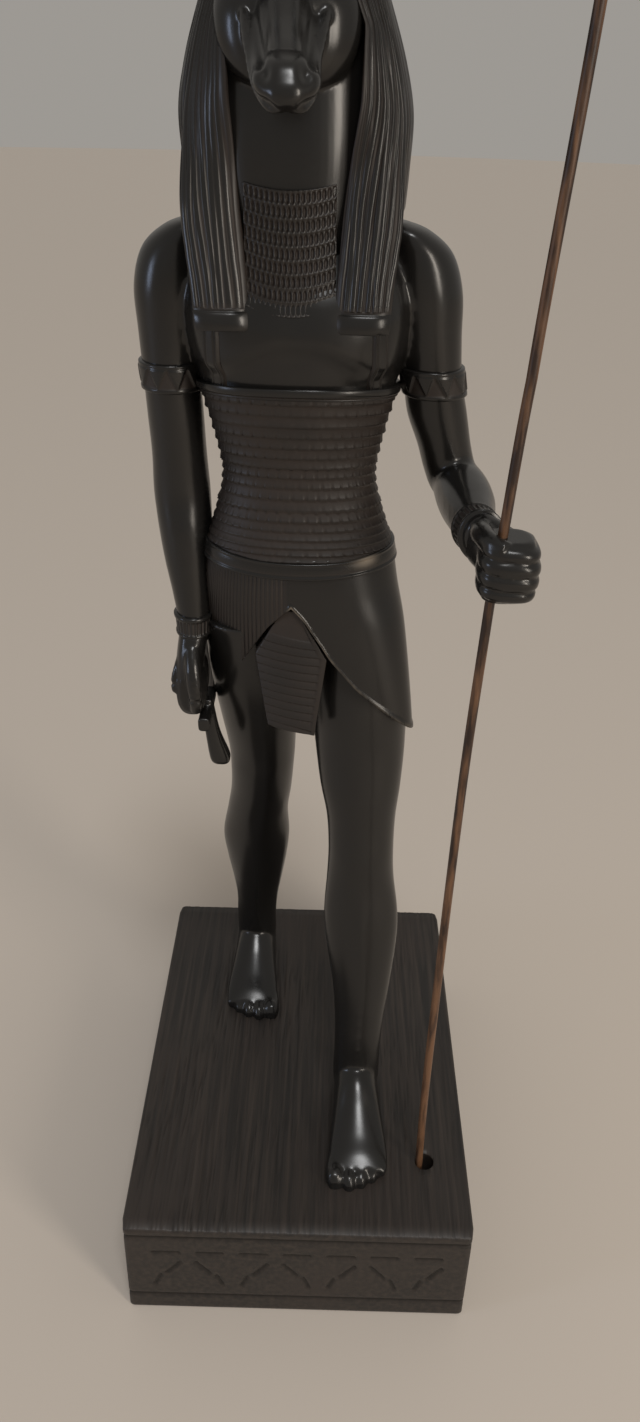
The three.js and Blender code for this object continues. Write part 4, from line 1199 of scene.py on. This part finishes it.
def colour(name, description, value):
    return bpy.props.FloatVectorProperty(name=name, description=description, default=linear(value),
                                         subtype="COLOR", size=3, min=0, max=1)


def fineness(name, description, value):
    return bpy.props.FloatProperty(name=name, description=description, default=value * MM, min=0.3 * MM,
                                   max=3 * MM, subtype="DISTANCE", unit="LENGTH")


def tilt(name, description, degrees):
    return bpy.props.FloatProperty(name=name, description=description, default=radians(degrees),
                                   subtype="ANGLE", unit="ROTATION")


class CastingSettings(bpy.types.PropertyGroup):
    """Finish and fineness of the casting"""

    resin: colour("Resin", "Colour of the polished casting", "#191817")
    wax: colour("Wax", "Colour of the wax left in the carving", "#2e2520")
    # The rubbed colour is the colour of the painted highlights on the kilt's hem and the belt
    rubbed: colour("Rubbed", "Colour of rubbed edges and chips", "#8a7f70")
    leg_grain: fineness("Leg skin", "Size of the faces on the legs", 0.95)
    torso_grain: fineness("Torso skin", "Size of the faces on the chest and arms", 1.1)
    fine_grain: fineness("Fine skin", "Size of the faces on the hands and head", 0.6)


class PlinthSettings(bpy.types.PropertyGroup):
    """Finish of the plinth"""

    stain: colour("Stain", "Colour of the stained wood", "#24211f")
    grain: colour("Grain", "Colour of the lighter grain", "#3a332e")
    worn_stain: colour("Worn stain", "Colour where the stain is thin", "#332c28")
    groove: colour("Groove", "Colour deep in grooves and strokes", "#14110f")


class StaffSettings(bpy.types.PropertyGroup):
    """Finish of the staff"""

    paint: colour("Paint", "Colour of the staff's dark paint", "#2c1d16")
    wood: colour("Wood", "Colour of the wood where the paint is worn", "#6e4f38")


class StageSettings(bpy.types.PropertyGroup):
    """Background, lights and camera"""

    paper: colour("Paper", "Colour of the background paper", "#cbc1b6")
    ceiling: bpy.props.FloatProperty(name="Ceiling", description="Strength of the ceiling light",
                                     default=0.9, min=0)
    panels: bpy.props.FloatProperty(name="Windows", description="Power of the window light",
                                    default=9, min=0, subtype="POWER")
    eye: bpy.props.FloatVectorProperty(name="Camera place", description="Where the camera stands", size=3,
                                       default=(0.0029, -0.3895, 0.4787), subtype="TRANSLATION",
                                       unit="LENGTH")
    turn: tilt("Turn", "How far the camera looks to the left", -0.04)
    pitch: tilt("Pitch", "How far the camera looks down", 30.36)
    roll: tilt("Roll", "How far the camera is tipped to one side", 1.64)
    lens: bpy.props.FloatProperty(name="Lens", description="Focal length for a 36 mm tall picture",
                                  default=27.6, min=10, max=200, subtype="DISTANCE_CAMERA")


class StatueSettings(bpy.types.PropertyGroup):
    """All settings of the statue"""

    casting: bpy.props.PointerProperty(type=CastingSettings)
    plinth: bpy.props.PointerProperty(type=PlinthSettings)
    staff: bpy.props.PointerProperty(type=StaffSettings)
    stage: bpy.props.PointerProperty(type=StageSettings)


# Operators

class STATUE_OT_legs(bpy.types.Operator):
    """Makes the two legs with their feet"""

    bl_idname = "statue.legs"
    bl_label = "Legs"

    def execute(self, context):
        settings = context.scene.statue.casting
        resin = cast_resin(settings)
        for name, stations, heel, inner in (("left_leg", LEFT_LEG, -17, -1), ("right_leg", RIGHT_LEG, 82, 1)):
            skin = fuse(leg_parts(stations, heel, inner), settings.leg_grain / MM, passes=3)
            flat_soles(skin)
            finish(name, skin, "figure", resin)
        return {"FINISHED"}


class STATUE_OT_torso(bpy.types.Operator):
    """Makes the chest with both arms"""

    bl_idname = "statue.torso"
    bl_label = "Torso"

    def execute(self, context):
        settings = context.scene.statue.casting
        skin = fuse(torso_parts(), settings.torso_grain / MM, passes=6)
        finish("torso", skin, "figure", cast_resin(settings))
        return {"FINISHED"}


class STATUE_OT_hands(bpy.types.Operator):
    """Makes both fists and the cross in the right one"""

    bl_idname = "statue.hands"
    bl_label = "Hands"

    def execute(self, context):
        settings = context.scene.statue.casting
        resin = cast_resin(settings)
        for name, parts in (("left_hand", left_hand_parts()), ("right_hand", right_hand_parts()),
                            ("looped_cross", cross_parts())):
            finish(name, fuse(parts, settings.fine_grain / MM, passes=3), "figure", resin)
        return {"FINISHED"}


class STATUE_OT_head(bpy.types.Operator):
    """Makes the animal's head, throat and ears"""

    bl_idname = "statue.head"
    bl_label = "Head"

    def execute(self, context):
        settings = context.scene.statue.casting
        skin = fuse(head_parts(), settings.fine_grain / MM, passes=4)
        carve_head(skin)
        finish("head", skin, "figure", cast_resin(settings))
        return {"FINISHED"}


class STATUE_OT_wig(bpy.types.Operator):
    """Makes the long wig"""

    bl_idname = "statue.wig"
    bl_label = "Wig"

    def execute(self, context):
        wig = close(sheet(*GRIDS["wig"], wig_surface))
        finish("wig", wig, "figure", cast_resin(context.scene.statue.casting))
        return {"FINISHED"}


class STATUE_OT_dress(bpy.types.Operator):
    """Makes the collar, the corset and its straps"""

    bl_idname = "statue.dress"
    bl_label = "Collar and corset"

    def execute(self, context):
        resin = cast_resin(context.scene.statue.casting)
        columns, rows = COLLAR["beads"] * BEAD_FACES[0], COLLAR["rows"] * BEAD_FACES[1]
        finish("collar", back(sheet(columns, rows, collar_surface), (0, 6, 0)), "figure", resin)
        finish("corset", gather(corset_parts()), "figure", resin)
        finish("straps", gather([strap_part(1), strap_part(-1)]), "figure", resin)
        return {"FINISHED"}


class STATUE_OT_kilt(bpy.types.Operator):
    """Makes the kilt, its belt and its apron"""

    bl_idname = "statue.kilt"
    bl_label = "Kilt"

    def execute(self, context):
        resin = cast_resin(context.scene.statue.casting)
        finish("kilt", close(sheet(*GRIDS["kilt"], kilt_surface)), "figure", resin)
        finish("belt", belt_part(), "figure", resin)
        finish("apron", apron_part(), "figure", resin)
        return {"FINISHED"}


class STATUE_OT_bands(bpy.types.Operator):
    """Makes the armbands and bracelets"""

    bl_idname = "statue.bands"
    bl_label = "Bands"

    def execute(self, context):
        resin = cast_resin(context.scene.statue.casting)
        armbands = [arm_band(RIGHT_ARM, 335, 325), arm_band(LEFT_UPPER_ARM, 335, 325)]
        finish("armbands", gather(armbands), "figure", resin)
        bracelets = [bracelet(RIGHT_ARM, 239, 230.5), bracelet(LEFT_FOREARM, -38, -47)]
        finish("bracelets", gather(bracelets), "figure", resin)
        return {"FINISHED"}


class STATUE_OT_plinth(bpy.types.Operator):
    """Makes the wooden plinth"""

    bl_idname = "statue.plinth"
    bl_label = "Plinth"

    def execute(self, context):
        wood = stained_wood(context.scene.statue.plinth)
        block = finish("plinth_block", plinth_mesh(), "plinth", wood, leans=False)
        bore_socket(block)
        return {"FINISHED"}


class STATUE_OT_staff(bpy.types.Operator):
    """Makes the staff"""

    bl_idname = "statue.staff"
    bl_label = "Staff"

    def execute(self, context):
        wood = painted_rod(context.scene.statue.staff)
        finish("staff_rod", gather(staff_parts()), "staff", wood, leans=False)
        return {"FINISHED"}


class STATUE_OT_stage(bpy.types.Operator):
    """Lays the paper floor, hangs the lights and sets the camera"""

    bl_idname = "statue.stage"
    bl_label = "Stage"

    # Each panel: its name, place, width and height, share of the power, and colour
    PANELS = (
        ("window", (1.05, -1.1, 0.72), (0.3, 0.8), 1.0, "#fff4e6"),
        ("far_window", (-1.4, -0.55, 0.45), (0.25, 0.4), 0.25, "#cfe0ff"),
    )

    def execute(self, context):
        settings = context.scene.statue.stage
        floor = bmesh.new()
        bmesh.ops.create_circle(floor, cap_ends=True, segments=96, radius=8)
        mesh = bpy.data.meshes.new("paper_floor")
        floor.to_mesh(mesh)
        floor.free()
        mesh.materials.append(studio_paper(settings))
        ground = bpy.data.objects.new("paper_floor", mesh)
        context.scene.collection.objects.link(ground)
        self.sun(context, settings)
        for name, place, size, share, shade in self.PANELS:
            self.panel(context, name, place, size, share * settings.panels, shade)
        self.sky(context)
        self.camera(context, settings)
        context.scene.view_settings.view_transform = "Standard"
        return {"FINISHED"}

    def panel(self, context, name, place, size, power, shade):
        data = bpy.data.lights.new(name, "AREA")
        data.shape = "RECTANGLE"
        data.size, data.size_y = size
        data.energy = power
        data.color = linear(shade)
        lamp = bpy.data.objects.new(name, data)
        aim = Vector((0, 0, 0.3)) - Vector(place)
        lamp.matrix_world = Matrix.Translation(place) @ aim.to_track_quat("-Z", "Y").to_matrix().to_4x4()
        context.scene.collection.objects.link(lamp)

    def sun(self, context, settings):
        """A broad ceiling light from in front"""
        data = bpy.data.lights.new("ceiling", "SUN")
        data.energy = settings.ceiling
        data.angle = radians(14)
        lamp = bpy.data.objects.new("ceiling", data)
        aim = Vector((-0.1, 0.45, -0.88))
        lamp.matrix_world = aim.to_track_quat("-Z", "Y").to_matrix().to_4x4()
        context.scene.collection.objects.link(lamp)

    def sky(self, context):
        world = bpy.data.worlds.new("studio_air")
        world.use_nodes = True
        world.node_tree.nodes["Background"].inputs["Color"].default_value = (*linear("#cdc8c1"), 1)
        world.node_tree.nodes["Background"].inputs["Strength"].default_value = 0.55
        context.scene.world = world

    def camera(self, context, settings):
        data = bpy.data.cameras.new("camera")
        data.sensor_fit = "VERTICAL"
        data.sensor_height = 36
        data.lens = settings.lens
        data.clip_start = 0.01
        camera = bpy.data.objects.new("camera", data)
        camera.matrix_world = (Matrix.Translation(settings.eye)
                               @ Matrix.Rotation(settings.turn, 4, "Z")
                               @ Matrix.Rotation(pi / 2 - settings.pitch, 4, "X")
                               @ Matrix.Rotation(settings.roll, 4, "Z"))
        context.scene.collection.objects.link(camera)
        context.scene.camera = camera


STEPS = (STATUE_OT_legs, STATUE_OT_torso, STATUE_OT_hands, STATUE_OT_head, STATUE_OT_wig, STATUE_OT_dress,
         STATUE_OT_kilt, STATUE_OT_bands, STATUE_OT_plinth, STATUE_OT_staff, STATUE_OT_stage)


class STATUE_PT_steps(bpy.types.Panel):
    """Lists the statue's settings and the steps that make it"""

    bl_idname = "STATUE_PT_steps"
    bl_label = "Statue"
    bl_space_type = "VIEW_3D"
    bl_region_type = "UI"
    bl_category = "Statue"

    def draw(self, context):
        statue = context.scene.statue
        for group in (statue.casting, statue.plinth, statue.staff, statue.stage):
            box = self.layout.box()
            for name in group.bl_rna.properties.keys():
                if name not in {"rna_type", "name"}:
                    box.prop(group, name)
        for step in STEPS:
            self.layout.operator(step.bl_idname)


CLASSES = (CastingSettings, PlinthSettings, StaffSettings, StageSettings, StatueSettings, *STEPS,
           STATUE_PT_steps)


def register():
    for cls in CLASSES:
        bpy.utils.register_class(cls)
    bpy.types.Scene.statue = bpy.props.PointerProperty(type=StatueSettings)


def unregister():
    del bpy.types.Scene.statue
    for cls in reversed(CLASSES):
        bpy.utils.unregister_class(cls)


def main():
    register()
    for step in STEPS:
        group, name = step.bl_idname.split(".")
        getattr(getattr(bpy.ops, group), name)()


if __name__ == "__main__":
    main()
